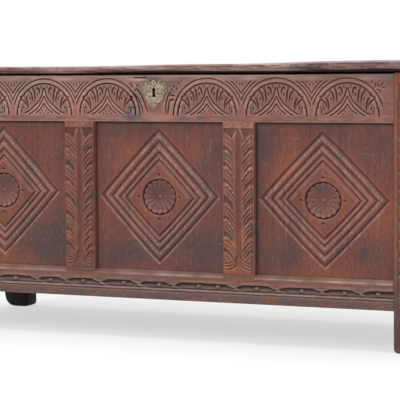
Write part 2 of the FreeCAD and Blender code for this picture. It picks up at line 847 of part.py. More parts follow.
def hinge(side):
    name = "left" if side < 0 else "right"
    middle = cell.hinge_place * side
    axis = (hinge_axis_y, hinge_axis_z)
    bore = cell.hinge_pin_radius + cell.pin_clearance
    outer = cell.knuckle_width * 1.5 + cell.knuckle_gap

    # The strap tapers to a pointed tip and ends at the back in the middle knuckle
    strap_foot = lid_foot - cell.strap_thickness
    root_y = rear - cell.knuckle_gap
    tip_y = rear - cell.strap_length
    outline_body = doc.addObject("PartDesign::Body", "strap_blade")
    bind(outline_body, {"Placement.Base.x": middle, "Placement.Base.z": strap_foot})
    outline = sketch_on(outline_body, "XY_Plane")
    wide = cell.strap_width / 2
    narrow = cell.strap_tip_width / 2
    draw_polygon(outline, [(-wide, root_y), (-narrow, tip_y + cell.strap_tip_length), (0, tip_y),
                           (narrow, tip_y + cell.strap_tip_length), (wide, root_y)])
    pad(outline_body, outline, cell.strap_thickness)
    middle_x = about(middle, cell.knuckle_width)
    neck = block(middle_x, (root_y, hinge_axis_y), (strap_foot, lid_foot))
    knuckle = rod("x", middle_x, cell.knuckle_radius, axis)
    cuts = [rod("x", grown(middle_x, OVERCUT), bore, axis)]
    cuts += strap_nail_rods(nail_bore, cell.mortise_spare)
    subpart(f"{name}_hinge_strap", [outline_body, neck, knuckle], cuts)

    # The leaf hangs down the back and carries the two outer knuckles
    leaf_top = hinge_axis_z - knuckle_stand
    leaf_y = (rear, rear + cell.leaf_thickness)
    pieces = [block((middle - outer, middle + outer), leaf_y, (leaf_top - cell.leaf_length, leaf_top))]
    for end in (-1, 1):
        x = across(end, cell.knuckle_width / 2 + cell.knuckle_gap, outer)
        x = (middle + x[0], middle + x[1])
        pieces.append(block(x, leaf_y, (leaf_top, hinge_axis_z)))
        pieces.append(rod("x", x, cell.knuckle_radius, axis))
    whole_x = (middle - outer, middle + outer)
    cuts = [rod("x", grown(whole_x, OVERCUT), bore, axis)] + leaf_nail_rods(nail_bore)
    subpart(f"{name}_hinge_leaf", pieces, cuts)

    heads = [rod("x", (whole_x[0] - cell.pin_head_height, whole_x[0]), cell.pin_head_radius, axis),
             rod("x", (whole_x[1], whole_x[1] + cell.pin_head_height), cell.pin_head_radius, axis)]
    subpart(f"{name}_hinge_pin", [rod("x", whole_x, cell.hinge_pin_radius, axis)] + heads)


def nail_group(label, shanks, heads):
    group(label, [fuse([shank, head]) for shank, head in zip(shanks, heads)])


# Chest lock behind the front top rail, with the lid's staple that its bolt holds
recess_top = key_height + cell.lock_recess_rise
recess_foot = key_height - cell.lock_recess_fall
recess_back = cell.rail_thickness - cell.lock_recess_depth
bolt_middle_z = key_height + cell.bolt_rise
bolt_middle_back = cell.rail_thickness - cell.lock_recess_depth / 2 + cell.joint_clearance
bolt_z = about(bolt_middle_z, cell.bolt_height)
bolt_y = about(front + bolt_middle_back, cell.bolt_thickness)
staple_far_x = lock_x + cell.bolt_nose + cell.bolt_travel - cell.bolt_bite
staple_x = (staple_far_x - cell.staple_thickness, staple_far_x)
staple_y = about(front + bolt_middle_back, cell.staple_width)
plate_x = about(lock_x, cell.lock_recess_width + cell.lock_plate_margin * 2)
plate_z = (recess_foot - cell.lock_plate_margin, recess_top + cell.lock_plate_margin / 2)
plate_y = (front + cell.rail_thickness, front + cell.rail_thickness + cell.lock_plate_thickness)


def keyhole(span):
    """The round of the keyhole and the slot below it, through a span of depth."""
    return [
        rod("y", span, cell.keyhole_radius, (lock_x, key_height)),
        block(about(lock_x, cell.keyhole_slot_width), span,
              (key_height - cell.keyhole_slot_length, key_height)),
    ]


def lock_cuts():
    """What the lock needs cut in the front rail: its recess, the staple's slot, the keyhole and its nail holes."""
    recess_y = (front + recess_back, front + cell.rail_thickness + OVERCUT)
    slot_x = grown(staple_x, cell.staple_room)
    cuts = keyhole((front - OVERCUT, front + recess_back + OVERCUT))
    cuts.append(block(about(lock_x, cell.lock_recess_width), recess_y, (recess_foot, recess_top)))
    cuts.append(block(slot_x, recess_y, (bolt_middle_z, front_rail_top + OVERCUT)))
    return cuts + lock_nail_rods(nail_bore) + tack_rods(tack_bore)


def lock_nail_places():
    across_x = cell.lock_recess_width / 2 + cell.lock_plate_margin / 2
    heights = (recess_foot + cell.lock_nail_inset, recess_top - cell.lock_nail_inset)
    return [(lock_x + across_x * side, height) for side in (-1, 1) for height in heights]


def lock_nail_rods(radius):
    span = (front + cell.rail_thickness - cell.lock_nail_length, plate_y[1])
    return [rod("y", span, radius, place) for place in lock_nail_places()]


def lock_nail_heads():
    span = (plate_y[1], plate_y[1] + cell.nail_head_height)
    return [rod("y", span, cell.nail_radius * 2, place) for place in lock_nail_places()]


def keep_places():
    return (lock_x - cell.left_keep_place, lock_x - cell.right_keep_place)


def lock():
    subpart("lock_plate", [block(plate_x, plate_y, plate_z)], lock_nail_rods(nail_bore))
    nail_group("lock_nails", lock_nail_rods(cell.nail_radius), lock_nail_heads())

    # The bolt lies drawn back, with its nose short of the staple, and a talon below for the key
    bolt_x = (lock_x + cell.bolt_nose - cell.bolt_length, lock_x + cell.bolt_nose)
    talon_middle = lock_x - (cell.left_keep_place + cell.right_keep_place - cell.keep_width) / 2
    talon = block(about(talon_middle, cell.talon_width), grown(bolt_y, OVERCUT),
                  (bolt_z[0] - OVERCUT, bolt_z[0] + cell.talon_depth))
    subpart("lock_bolt", [block(bolt_x, bolt_y, bolt_z)], [talon])

    # Two keeps on the plate guide the bolt
    hole_y = grown(bolt_y, cell.bolt_clearance)
    hole_z = grown(bolt_z, cell.bolt_clearance)
    keeps = []
    for place in keep_places():
        keep_x = (place, place + cell.keep_width)
        solid = block(keep_x, (hole_y[0] - cell.keep_wall, plate_y[0]), grown(hole_z, cell.keep_wall))
        keep = doc.addObject("Part::Cut", "keep")
        keep.Base = solid
        keep.Tool = block(grown(keep_x, OVERCUT), hole_y, hole_z)
        keeps.append(keep)
    group("bolt_keeps", keeps)

    # A bent leaf spring stands on the plate and bears on the bolt's upper edge
    spring_left = talon_middle - cell.spring_length / 2
    blade_z = (hole_z[1], hole_z[1] + cell.spring_thickness)
    blade = block((spring_left, spring_left + cell.spring_length), bolt_y, blade_z)
    foot = block((spring_left, spring_left + cell.spring_thickness), (bolt_y[0], plate_y[0]),
                 (blade_z[0], blade_z[0] + cell.spring_rise))
    subpart("bolt_spring", [blade, foot])

    # The staple hangs from a plate that is let into the lid
    eye_y = grown(bolt_y, cell.staple_eye_clearance)
    eye_z = grown(bolt_z, cell.staple_eye_clearance)
    web = block(staple_x, staple_y, (eye_z[0] - cell.staple_web, lid_foot))
    eye = block(grown(staple_x, OVERCUT), eye_y, eye_z)
    subpart("lid_staple", [staple_plate(cell.joint_clearance), web], [eye] + staple_nail_rods(nail_bore))
    group("staple_nails", staple_nail_rods(cell.nail_radius))


def staple_plate(gap):
    """The staple's plate, smaller all round than its seat by a gap."""
    x = about((staple_x[0] + staple_x[1]) / 2, cell.staple_plate_length - gap * 2)
    y = about(front + bolt_middle_back, cell.staple_plate_width - gap * 2)
    return block(x, y, (lid_foot, lid_foot + cell.staple_plate_thickness - gap))


def staple_plate_seat():
    x = about((staple_x[0] + staple_x[1]) / 2, cell.staple_plate_length)
    y = about(front + bolt_middle_back, cell.staple_plate_width)
    return block(x, y, (lid_foot - OVERCUT, lid_foot + cell.staple_plate_thickness))


def staple_nail_rods(radius):
    middle = (staple_x[0] + staple_x[1]) / 2
    reach = cell.staple_plate_length / 2 - cell.nail_radius * 3
    span = (lid_foot, lid_foot + cell.nail_length)
    return [rod("z", span, radius, (middle + reach * side, front + bolt_middle_back)) for side in (-1, 1)]


# Pierced brass escutcheon on the front, a shield with lobes along its crest, its sides and its tip
def lobes():
    """Place and radius of each lobe, from the middle of the keyhole."""
    crest = cell.escutcheon_rise
    shoulder = cell.escutcheon_shoulder
    places = [(as_size(0), crest, cell.crest_lobe_radius)]
    tip = -cell.escutcheon_fall
    for side in (-1, 1):
        places.append((shoulder * side * 0.56, crest, cell.crest_lobe_radius))
        places.append((shoulder * side, crest * 0.6, cell.side_lobe_radius))
        places.append((shoulder * side, crest * -0.1, cell.side_lobe_radius))
        places.append((cell.tip_lobe_radius * side, tip, cell.tip_lobe_radius))
    places.append((as_size(0), tip - cell.tip_lobe_radius, cell.tip_lobe_radius))
    return places


def tack_places():
    return [(lock_x + cell.escutcheon_waist * side * 0.8, key_height + rise)
            for side in (-1, 1) for rise in (cell.escutcheon_rise * 0.5, -cell.escutcheon_fall / 2)]


def tack_rods(radius):
    span = (front - cell.escutcheon_thickness, front + cell.tack_length)
    return [rod("y", span, radius, place) for place in tack_places()]


def escutcheon():
    thick = (front - cell.escutcheon_thickness, as_size(0) + front)
    shield = doc.addObject("PartDesign::Body", "shield")
    bind(shield, {"Placement.Base.x": lock_x, "Placement.Base.y": front, "Placement.Base.z": key_height})
    outline = sketch_on(shield, "XZ_Plane")
    shoulder = cell.escutcheon_shoulder
    waist = cell.escutcheon_waist
    rise = cell.escutcheon_rise
    fall = cell.escutcheon_fall
    right = [(cell.tip_lobe_radius, -fall), (waist * 0.78, -fall * 0.72), (waist, -fall / 2),
             (shoulder, rise * -0.1), (shoulder, rise)]
    left = [(-u, v) for u, v in reversed(right)]
    draw_polygon(outline, right + left)
    pad(shield, outline, cell.escutcheon_thickness)
    discs = [rod("y", thick, radius, (lock_x + x, key_height + z)) for x, z, radius in lobes()]
    holed = (thick[0] - OVERCUT, thick[1] + OVERCUT)
    cuts = [rod("y", holed, cell.lobe_hole_radius, (lock_x + x, key_height + z)) for x, z, radius in lobes()]
    cuts += keyhole(holed) + tack_rods(tack_bore)
    subpart("escutcheon", [shield] + discs, cuts)
    heads_span = (thick[0] - cell.tack_head_height, thick[0])
    heads = [rod("y", heads_span, cell.tack_head_radius, place) for place in tack_places()]
    nail_group("escutcheon_tacks", tack_rods(cell.tack_radius), heads)


# The whole chest
for frame_face in ("front", "rear"):
    for frame_side in (-1, 1):
        stile(frame_face, frame_side)
        muntin(frame_face, frame_side)
    bottom_rail(frame_face)
    top_rail(frame_face)
    group(f"{frame_face}_pegs", long_pegs(frame_face, cell.peg_proud, cell.peg_radius))
for panel_name, panel_place in (("left", -panel_pitch), ("middle", as_size(0)), ("right", panel_pitch)):
    front_panel(panel_name, panel_place)
    rear_panel(panel_name, panel_place)
for frame_side in (-1, 1):
    end_frame(frame_side)
    hinge(frame_side)
floor()
lid()
nail_group("strap_nails", strap_nail_rods(cell.nail_radius, as_size(0)), strap_nail_heads())
nail_group("leaf_nails", leaf_nail_rods(cell.nail_radius), leaf_nail_heads())
lock()
escutcheon()
doc.recompute()

# Every object is sound before anything is written
failed = [item.Label for item in doc.Objects if "Invalid" in item.State or "Error" in item.State]
failed += [item.Label for item in SUBPARTS if item.Shape.isNull() or not item.Shape.isValid()]
if failed:
    raise RuntimeError("not sound: " + ", ".join(sorted(set(failed))))
os.makedirs("parts", exist_ok=True)
for item in SUBPARTS:
    item.Shape.exportStep(f"parts/{item.Label}.step")
    print(f"{item.Label}: {len(item.Shape.Solids)} solid(s), {item.Shape.Volume / 1000:.1f} cm3")
print(len(SUBPARTS), "sub-parts")
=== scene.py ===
# %% [markdown]
# # A carved oak coffer
# A joined chest: stiles, rails and muntins hold thin panels in grooves, and oak pegs hold the joints.
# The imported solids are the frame. Every board's place and size is read from them, and none of them is moved.
# This lesson carves the front, wears the edges and waxes the wood.

# %% The fixed frame
import json
import math

import bmesh
import bpy
import numpy as np
from mathutils import Matrix, Vector

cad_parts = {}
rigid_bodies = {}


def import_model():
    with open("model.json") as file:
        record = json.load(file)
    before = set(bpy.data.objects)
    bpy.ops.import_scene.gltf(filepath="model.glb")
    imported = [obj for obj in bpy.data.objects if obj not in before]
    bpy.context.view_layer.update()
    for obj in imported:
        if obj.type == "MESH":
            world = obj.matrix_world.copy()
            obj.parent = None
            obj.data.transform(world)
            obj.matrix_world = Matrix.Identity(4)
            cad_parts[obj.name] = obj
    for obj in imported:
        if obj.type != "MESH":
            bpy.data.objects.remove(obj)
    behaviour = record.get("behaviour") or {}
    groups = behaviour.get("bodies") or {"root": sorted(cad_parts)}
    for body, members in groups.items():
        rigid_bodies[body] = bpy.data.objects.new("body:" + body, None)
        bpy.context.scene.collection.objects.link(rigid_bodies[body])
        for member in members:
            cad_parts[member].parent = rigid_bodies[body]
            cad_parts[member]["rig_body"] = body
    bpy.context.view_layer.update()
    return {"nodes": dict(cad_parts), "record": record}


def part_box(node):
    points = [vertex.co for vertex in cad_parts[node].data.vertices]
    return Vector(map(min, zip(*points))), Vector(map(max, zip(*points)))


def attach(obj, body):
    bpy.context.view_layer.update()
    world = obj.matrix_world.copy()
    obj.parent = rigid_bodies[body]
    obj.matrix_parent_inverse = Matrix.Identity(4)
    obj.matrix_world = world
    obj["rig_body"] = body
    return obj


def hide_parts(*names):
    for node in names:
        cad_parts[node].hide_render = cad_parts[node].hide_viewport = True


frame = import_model()
MM = 0.001


def span(node, axis):
    """A solid's two ends along an axis, in millimetres."""
    low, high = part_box(node)
    place = "xyz".index(axis)
    return low[place] / MM, high[place] / MM


FRONT, STILE_BACK = span("front_right_stile", "y")
SHOULDER = span("front_right_stile", "x")[0]
SILL_FOOT, SILL_TOP = span("front_bottom_rail", "z")
HEAD_FOOT, HEAD_TOP = span("front_top_rail", "z")
RAIL_BACK = span("front_top_rail", "y")[1]
print(len(frame["nodes"]), "solids; the front frame stands between", -SHOULDER, "and", SHOULDER)


# %% Objects and meshes
def new_object(name, data):
    """Makes an object of some data and links it into the scene."""
    made = bpy.data.objects.new(name, data)
    bpy.context.scene.collection.objects.link(made)
    return made


def mesh_of(shape, name):
    """Keeps a bmesh as a mesh, and frees it."""
    mesh = bpy.data.meshes.new(name)
    shape.to_mesh(mesh)
    shape.free()
    return mesh


def points_of(mesh):
    """The points of a mesh, a row for each."""
    flat = np.empty(len(mesh.vertices) * 3)
    mesh.vertices.foreach_get("co", flat)
    return flat.reshape(-1, 3)


def move_points(mesh, place):
    """Moves the points of a mesh to places in millimetres."""
    mesh.vertices.foreach_set("co", (place * MM).ravel())
    mesh.update()


def mark(mesh, name, values):
    """Writes one number for each point of a mesh."""
    layer = mesh.attributes.get(name) or mesh.attributes.new(name, "FLOAT", "POINT")
    layer.data.foreach_set("value", np.ascontiguousarray(values, np.float32))


# %% [markdown]
# ## The eye
# The picture was taken with a long lens from the right, with the eye level with the lid.
# The camera is turned, tipped and rolled in that order, so that each angle is a number that can be read.

# %% Camera
EYE = Vector((1.890, -4.219, 0.661))
HEADING, PITCH, ROLL = 24.0, -4.16, -0.37
FOCAL_PIXELS, IMAGE_PIXELS, SENSOR_WIDTH = 1829, 400, 36.0
FAR_END = 200

camera_data = bpy.data.cameras.new("eye")
camera_data.sensor_width = SENSOR_WIDTH
camera_data.lens = SENSOR_WIDTH * FOCAL_PIXELS / IMAGE_PIXELS
camera_data.clip_end = FAR_END
camera = new_object("eye", camera_data)
camera.matrix_world = (
    Matrix.Translation(EYE)
    @ Matrix.Rotation(math.radians(HEADING), 4, "Z")
    @ Matrix.Rotation(math.radians(90 + PITCH), 4, "X")
    @ Matrix.Rotation(math.radians(ROLL), 4, "Z")
)
bpy.context.scene.camera = camera
bpy.context.scene.view_settings.view_transform = "Standard"
print("lens", round(camera_data.lens, 1), "mm")

# %% [markdown]
# ## Arithmetic on sockets
# A material is a small sum over a surface: a streak here, less gloss there.
# It could be wired node by node, but then the sum is hard to read.
# One class wraps a socket instead, so that such a sum is written as Python and adds the nodes that it needs.


# %% A value on its way through a material
class Wire:
    """A socket of a node tree. Arithmetic on it adds Math nodes."""

    def __init__(self, tree, socket=None):
        self.tree = tree
        self.socket = socket

    def node(self, kind, settings=None, inputs=None, output=0):
        """Adds any node: its settings first, then the values or links of its sockets."""
        made = self.tree.nodes.new(kind)
        for name, value in (settings or {}).items():
            setattr(made, name, value)
        for name, value in (inputs or {}).items():
            if isinstance(value, Wire):
                self.tree.links.new(value.socket, made.inputs[name])
            else:
                made.inputs[name].default_value = value
        return Wire(self.tree, made.outputs[output])

    def feed(self, shader, name):
        """Links this value to a socket of a shader."""
        self.tree.links.new(self.socket, shader.inputs[name])

    def worked(self, operation, first, second):
        """One operation on two values or wires."""
        return self.node("ShaderNodeMath", {"operation": operation}, {0: first, 1: second})

    def __add__(self, other):
        return self.worked("ADD", self, other)

    def __sub__(self, other):
        return self.worked("SUBTRACT", self, other)

    def __rsub__(self, other):
        return self.worked("SUBTRACT", other, self)

    def __mul__(self, other):
        return self.worked("MULTIPLY", self, other)

    __radd__ = __add__

    def between(self, low, high):
        """0 below low, 1 above high, and a smooth rise from one to the other."""
        return self.node("ShaderNodeMapRange", {"interpolation_type": "SMOOTHSTEP"},
                         {"Value": self, "From Min": low, "From Max": high})

    def mixed(self, first, second):
        """The first colour where this value is 0, and the second one where it is 1."""
        return self.node("ShaderNodeMix", {"data_type": "RGBA"}, {0: self, 6: first, 7: second}, 2)

    def tinted(self, colour, amount):
        """This colour, moved towards another one by an amount."""
        return amount.mixed(self, colour)

    def noise(self, scale, detail):
        """Noise over this place, with about so many waves to the metre."""
        return self.node("ShaderNodeTexNoise", inputs={"Vector": self, "Scale": scale, "Detail": detail})

    def bump(self, strength, depth):
        """This height as a bump, whose depth is in millimetres."""
        inputs = {"Strength": strength, "Distance": depth * MM, "Height": self}
        return self.node("ShaderNodeBump", inputs=inputs)

    def attribute(self, name):
        """What the mesh has marked at each point under a name."""
        return self.node("ShaderNodeAttribute", {"attribute_name": name}, output="Fac")


def new_finish(name):
    """A material, its shader, and a wire to start from."""
    finish = bpy.data.materials.new(name)
    finish.use_nodes = True
    return finish, finish.node_tree.nodes["Principled BSDF"], Wire(finish.node_tree)


def seen(red, green, blue):
    """A colour as the eye gives it, from 0 to 255, as the linear one that a shader takes."""
    parts = [part / 255 for part in (red, green, blue)]
    return tuple(p / 12.92 if p <= 0.04045 else ((p + 0.055) / 1.055) ** 2.4 for p in parts) + (1.0,)


print("a middle grey of 128 is", round(seen(128, 128, 128)[0], 3), "in linear light")

# %% [markdown]
# ## The room
# A pale floor and a white surround, as in a studio. Two large lamps stand in front, the stronger one higher
# and on the left, so that ridges catch light from above.
# A third hangs over the lid and leaves a shadow underneath.
# The white that the camera and the gloss see is kept apart from the light, so it doesn't bleach the wood.

# %% Floor and surround
FLOOR_REACH = 30.0
FLOOR_GREY, FLOOR_ROUGHNESS = (0.92, 0.92, 0.92, 1), 0.8
FLOOR_WHITE = 0.58
SURROUND_LIGHT = 0.5
WHITE = (1.0, 1.0, 1.0, 1.0)


def seen_rays(start):
    """1 for rays that show a surface to the camera, straight or by gloss or glass, and else 0."""
    kinds = ("Camera", "Glossy", "Transmission")
    first, *others = [start.node("ShaderNodeLightPath", output=f"Is {kind} Ray") for kind in kinds]
    for other in others:
        first = first + other
    return first.between(0.0, 1.0)


floor_shape = bmesh.new()
bmesh.ops.create_grid(floor_shape, x_segments=1, y_segments=1, size=FLOOR_REACH)
floor = new_object("floor", mesh_of(floor_shape, "floor"))
floor_finish, floor_shader, ground = new_finish("pale_floor")
floor_shader.inputs["Base Color"].default_value = FLOOR_GREY
floor_shader.inputs["Roughness"].default_value = FLOOR_ROUGHNESS
matt = Wire(ground.tree, floor_shader.outputs[0])
glow = ground.node("ShaderNodeEmission", inputs={"Color": WHITE, "Strength": 1.0})
lit = ground.node("ShaderNodeMixShader", inputs={0: seen_rays(ground) * FLOOR_WHITE, 1: matt, 2: glow})
lit.feed(ground.tree.nodes["Material Output"], "Surface")
floor.data.materials.append(floor_finish)

surround = bpy.data.worlds.new("surround")
bpy.context.scene.world = surround
surround.use_nodes = True
backdrop = surround.node_tree.nodes["Background"]
backdrop.inputs["Color"].default_value = WHITE
(seen_rays(Wire(surround.node_tree)) * (1 - SURROUND_LIGHT) + SURROUND_LIGHT).feed(backdrop, "Strength")
print("floor", 2 * FLOOR_REACH, "m square, surround at", SURROUND_LIGHT)

# %% Lamps
# Each lamp has its place and its size in metres, and its power.
LAMP_AIM = Vector((0.0, -0.2, 0.35))
LAMPS = {
    "key_lamp": (Vector((-2.6, -6.0, 4.2)), 3.2, 205.0),
    "fill_lamp": (Vector((3.8, -4.4, 1.6)), 2.4, 28.0),
    "top_lamp": (Vector((0.2, -0.4, 4.0)), 2.6, 92.0),
}
for lamp_name, (lamp_place, lamp_size, lamp_power) in LAMPS.items():
    lamp_data = bpy.data.lights.new(lamp_name, "AREA")
    lamp_data.size = lamp_size
    lamp_data.energy = lamp_power
    lamp = new_object(lamp_name, lamp_data)
    lamp.location = lamp_place
    lamp.rotation_euler = (LAMP_AIM - lamp_place).to_track_quat("-Z", "Y").to_euler()
    print(lamp_name, round((LAMP_AIM - lamp_place).length, 2), "m from the chest")

# %% [markdown]
# ## Waxed oak
# Old oak is brown with paler streaks along the grain, dark pores, warm clouds and grey stains.
# Deep cuts are darker and hands rub the high edges pale; shade and highlights from light above are painted on
# too.
# A painted picture would show this from one side only, so the finish is worked out from each point's place.
# The carving writes how deep or how rubbed each point is, and its painted shade and highlights, as attributes;
# the finish reads them.
# Each board also carries a number of its own, which slides the grain so that no two boards match.

# %% Colours and figures of oak
# A tone is seven colours: deep, pale and warm wood, pores, stains, dirt, and worn edges.
# The dirt colour also paints shade, the worn colour highlights, and the stain colour some shade and a
# reflection.
TONES = {
    "front": ((110, 72, 63), (136, 95, 85), (156, 94, 70), (78, 48, 43), (88, 74, 77), (42, 23, 21),
              (196, 160, 148)),
    "stem": ((97, 53, 44), (125, 73, 59), (150, 82, 50), (64, 37, 32), (88, 68, 62), (44, 25, 22),
             (188, 148, 132)),
    "sill": ((84, 55, 50), (110, 75, 67), (118, 71, 56), (62, 42, 39), (86, 71, 70), (42, 28, 27),
             (186, 160, 150)),
    "panel": ((87, 47, 41), (110, 63, 54), (131, 72, 45), (62, 35, 31), (71, 54, 56), (36, 20, 19),
              (166, 135, 128)),
    "plain": ((84, 52, 42), (116, 76, 61), (122, 74, 50), (56, 35, 30), (40, 33, 31), (24, 17, 15),
              (154, 114, 94)),
    "lid": ((92, 58, 51), (128, 90, 82), (126, 80, 66), (62, 42, 39), (66, 50, 48), (40, 28, 26),
            (186, 162, 158)),
    "inside": ((128, 94, 66), (166, 130, 96), (156, 112, 72), (92, 66, 46), (86, 68, 54), (58, 44, 34),
               (184, 152, 120)),
}
# A figure is its waves to the metre along and across the grain, its detail, and where it starts and is full.
FIGURES = {
    "bands": (1.6, 17.0, 2.0, 0.36, 0.64),
    "streaks": (5.0, 150.0, 3.0, 0.34, 0.66),
    "pores": (28.0, 900.0, 1.0, 0.56, 0.70),
    "clouds": (5.0, 9.0, 2.0, 0.44, 0.64),
    "smudges": (14.0, 26.0, 3.0, 0.50, 0.72),
    "flecks": (70.0, 210.0, 1.0, 0.54, 0.72),
    "specks": (95.0, 170.0, 1.0, 0.57, 0.74),
}
LAYERS = ("hollow", "wear", "stain", "glow")
SLIDE = (3.7, 5.3, 2.9)
SHEEN_LEVEL = 0.3
# Black for painted shade, where the hollow layer goes past 1 inside the lock's recess and keyhole.
SHADE_BLACK = seen(9, 7, 7)
print(len(TONES), "tones of oak, each with", len(FIGURES), "figures")


# %% Oak
def oak(name, grain, tone, gloss):
    """Waxed oak with its grain along one axis, in one tone's colours; gloss is its roughness when rubbed."""
    finish, shader, start = new_finish(name)
    shader.inputs["Specular IOR Level"].default_value = SHEEN_LEVEL
    place = start.node("ShaderNodeTexCoord", output="Object")
    slid = start.node("ShaderNodeVectorMath", {"operation": "MULTIPLY_ADD"},
                      {0: start.attribute("board"), 1: SLIDE, 2: place})

    def figure(along, across, detail, low, high):
        scale = [across] * 3
        scale["xyz".index(grain)] = along
        stretched = start.node("ShaderNodeVectorMath", {"operation": "MULTIPLY"}, {0: slid, 1: scale})
        return stretched.noise(1.0, detail).between(low, high)

    bands, streaks, pores, clouds, smudges, flecks, specks = (figure(*row) for row in FIGURES.values())
    hollow, wear, stain, glow = (start.attribute(layer) for layer in LAYERS)
    deep, pale, warm, pore, stained, dirt_and_shade, worn = (seen(*colour) for colour in TONES[tone])

    colour = (streaks * 0.55 + bands * 0.45).mixed(deep, pale)
    colour = colour.tinted(warm, clouds * 0.45 + glow * 0.6)
    # The stain layer also holds painted shade in the rosettes and on the lid's edge, and a painted reflection
    # on lozenge ridges.
    colour = colour.tinted(stained, smudges * 0.3 + stain * 0.8)
    colour = colour.tinted(pore, pores * 0.5 + specks * 0.4)
    colour = colour.tinted(worn, flecks * 0.09)
    # The wear layer is rubbed wear and scratches, and also painted highlights where faces look up or ridges
    # catch light.
    colour = colour.tinted(worn, wear * (0.55 + streaks * 0.3))
    # The hollow layer darkens sunk points, and also holds painted shade under the lid, the rail, the knobs and
    # the chest.
    colour = colour.tinted(dirt_and_shade, hollow)
    # Past 1 the hollow layer goes to black: painted shade inside the lock's recess and keyhole.
    colour.tinted(SHADE_BLACK, hollow - 1).feed(shader, "Base Color")
    (streaks * 0.12 + hollow * 0.25 + gloss - wear * 0.06).feed(shader, "Roughness")
    (streaks * 0.4 - pores * 0.8).bump(0.35, 0.4).feed(shader, "Normal")
    return finish


OAK_FRONT = oak("oak_front", "x", "front", 0.40)
OAK_STEM = oak("oak_stem", "z", "stem", 0.40)
OAK_SILL = oak("oak_sill", "x", "sill", 0.42)
OAK_PANEL = oak("oak_panel", "z", "panel", 0.38)
OAK_PLAIN = {grain: oak(f"oak_plain_{grain}", grain, "plain", 0.48) for grain in "xyz"}
OAK_LID = {grain: oak(f"oak_lid_{grain}", grain, "lid", 0.40) for grain in "xy"}
OAK_INSIDE = oak("oak_inside", "y", "inside", 0.62)
print(len(bpy.data.materials), "finishes so far")

# %% [markdown]
# ## Iron and brass
# The hinges and the lock are forged iron, black with a little rust in the pits.
# The escutcheon is thin brass that has gone dull and pale, with dark dirt where it can't be rubbed.
# Both are two colours mottled by noise, so one function makes them.


# %% Metals
def metal(name, pale, dark, rough, metallic, mottle):
    """Old metal: two colours mottled at a scale per metre, duller where it is dark."""
    finish, shader, start = new_finish(name)
    place = start.node("ShaderNodeTexCoord", output="Object")
    dull = place.noise(mottle, 4.0).between(0.40, 0.66)
    pits = place.noise(mottle * 5, 2.0)
    dull.mixed(pale, dark).tinted(dark, start.attribute("hollow")).feed(shader, "Base Color")
    (dull * 0.2 + rough).feed(shader, "Roughness")
    (metallic - dull * 0.3).feed(shader, "Metallic")
    pits.bump(0.5, 0.5).feed(shader, "Normal")
    return finish


IRON = metal("wrought_iron", seen(72, 68, 66), seen(58, 42, 34), rough=0.45, metallic=0.85, mottle=60.0)
BRASS = metal("dull_brass", seen(168, 156, 130), seen(104, 88, 68), rough=0.46, metallic=0.5, mottle=170.0)
print(len(bpy.data.materials), "finishes with the metals")

# %% [markdown]
# ## Boards
# A carved board is a fine grid whose points are pushed in by the carving, with its rim drawn back and closed.
# Boolean cuts could carve it too, but hundreds of them would be slow, and worn edges need soft slopes.
# A plain board is a cube that is cut into cells, bevelled along its edges and made a little uneven.
# Both end in one function that puts the piece on the body of the solid that it stands for.

# %% Pieces in the scene
GOLDEN_STEP, GRAIN_RUN = 0.618, 7
boards_made = []


def put(name, mesh, finish, node):
    """Puts a mesh in the scene in place of a solid, on its body and with its slot."""
    piece = new_object(name, mesh)
    mesh.materials.append(finish)
    boards_made.append(name)
    mark(mesh, "board", np.full(len(mesh.vertices), (len(boards_made) * GOLDEN_STEP) % 1 * GRAIN_RUN))
    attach(piece, frame["nodes"][node]["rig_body"])
    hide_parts(node)
    print(name, len(mesh.polygons), "faces")
    return piece


print("pieces to make for", len(frame["nodes"]), "solids")


# %% Curves to carve with
WAVES = 7


def hump(x):
    """A rounded bump: 1 at nought and 0 from one on."""
    return np.where(np.abs(x) < 1, 0.5 + 0.5 * np.cos(np.pi * np.clip(x, -1, 1)), 0)


def rise(x, low, high):
    """0 at low and 1 at high, with a smooth rise or fall between them."""
    t = np.clip((x - low) / (high - low), 0, 1)
    return t * t * (3 - 2 * t)


def corner_cut(inset, radius):
    """How far a rounded corner stands back, by the distance in from its edge."""
    x = np.clip(1 - inset / radius, 0, 1)
    return radius * (1 - np.sqrt(1 - x * x))


def waver(points, seed, size):
    """A smooth unevenness from -1 to 1 over points, with waves about as long as size."""
    dice = np.random.RandomState(seed)
    total = np.zeros(points.shape[:-1])
    for _ in range(WAVES):
        turn = dice.normal(size=points.shape[-1])
        turn *= dice.uniform(0.6, 1.6) * 2 * np.pi / size / np.linalg.norm(turn)
        total += np.sin(points @ turn + dice.uniform(0, 2 * np.pi))
    return total / WAVES


def softened(field, reach):
    """A field averaged over a square of points, twice."""
    for axis in (0, 1, 0, 1):
        field = np.moveaxis(field, axis, 0)
        padded = np.concatenate([field[:1]] * (reach + 1) + [field] + [field[-1:]] * reach)
        total = np.cumsum(padded, axis=0)
        field = np.moveaxis((total[2 * reach + 1:] - total[:-2 * reach - 1]) / (2 * reach + 1), 0, axis)
    return field


def smooth_path(points, steps=7):
    """Points along a smooth curve through a few given ones."""
    p = np.array(points, float)
    p = np.vstack([2 * p[0] - p[1], p, 2 * p[-1] - p[-2]])
    t = np.linspace(0, 1, steps, endpoint=False)[:, None]
    runs = []
    for a, b, c, d in zip(p, p[1:], p[2:], p[3:]):
        runs.append(b + 0.5 * t * (c - a + t * (2 * a - 5 * b + 4 * c - d + t * (3 * (b - c) + d - a))))
    return np.vstack(runs + [p[-2:-1]])


def laid_at(path, middle, foot, side=1, wide=1):
    """A path moved to a middle and a foot, mirrored where side is -1, and stretched across by wide."""
    return [(middle + side * a * wide, foot + b) for a, b in path]


print("half way up a rise:", float(rise(0.5, 0, 1)))


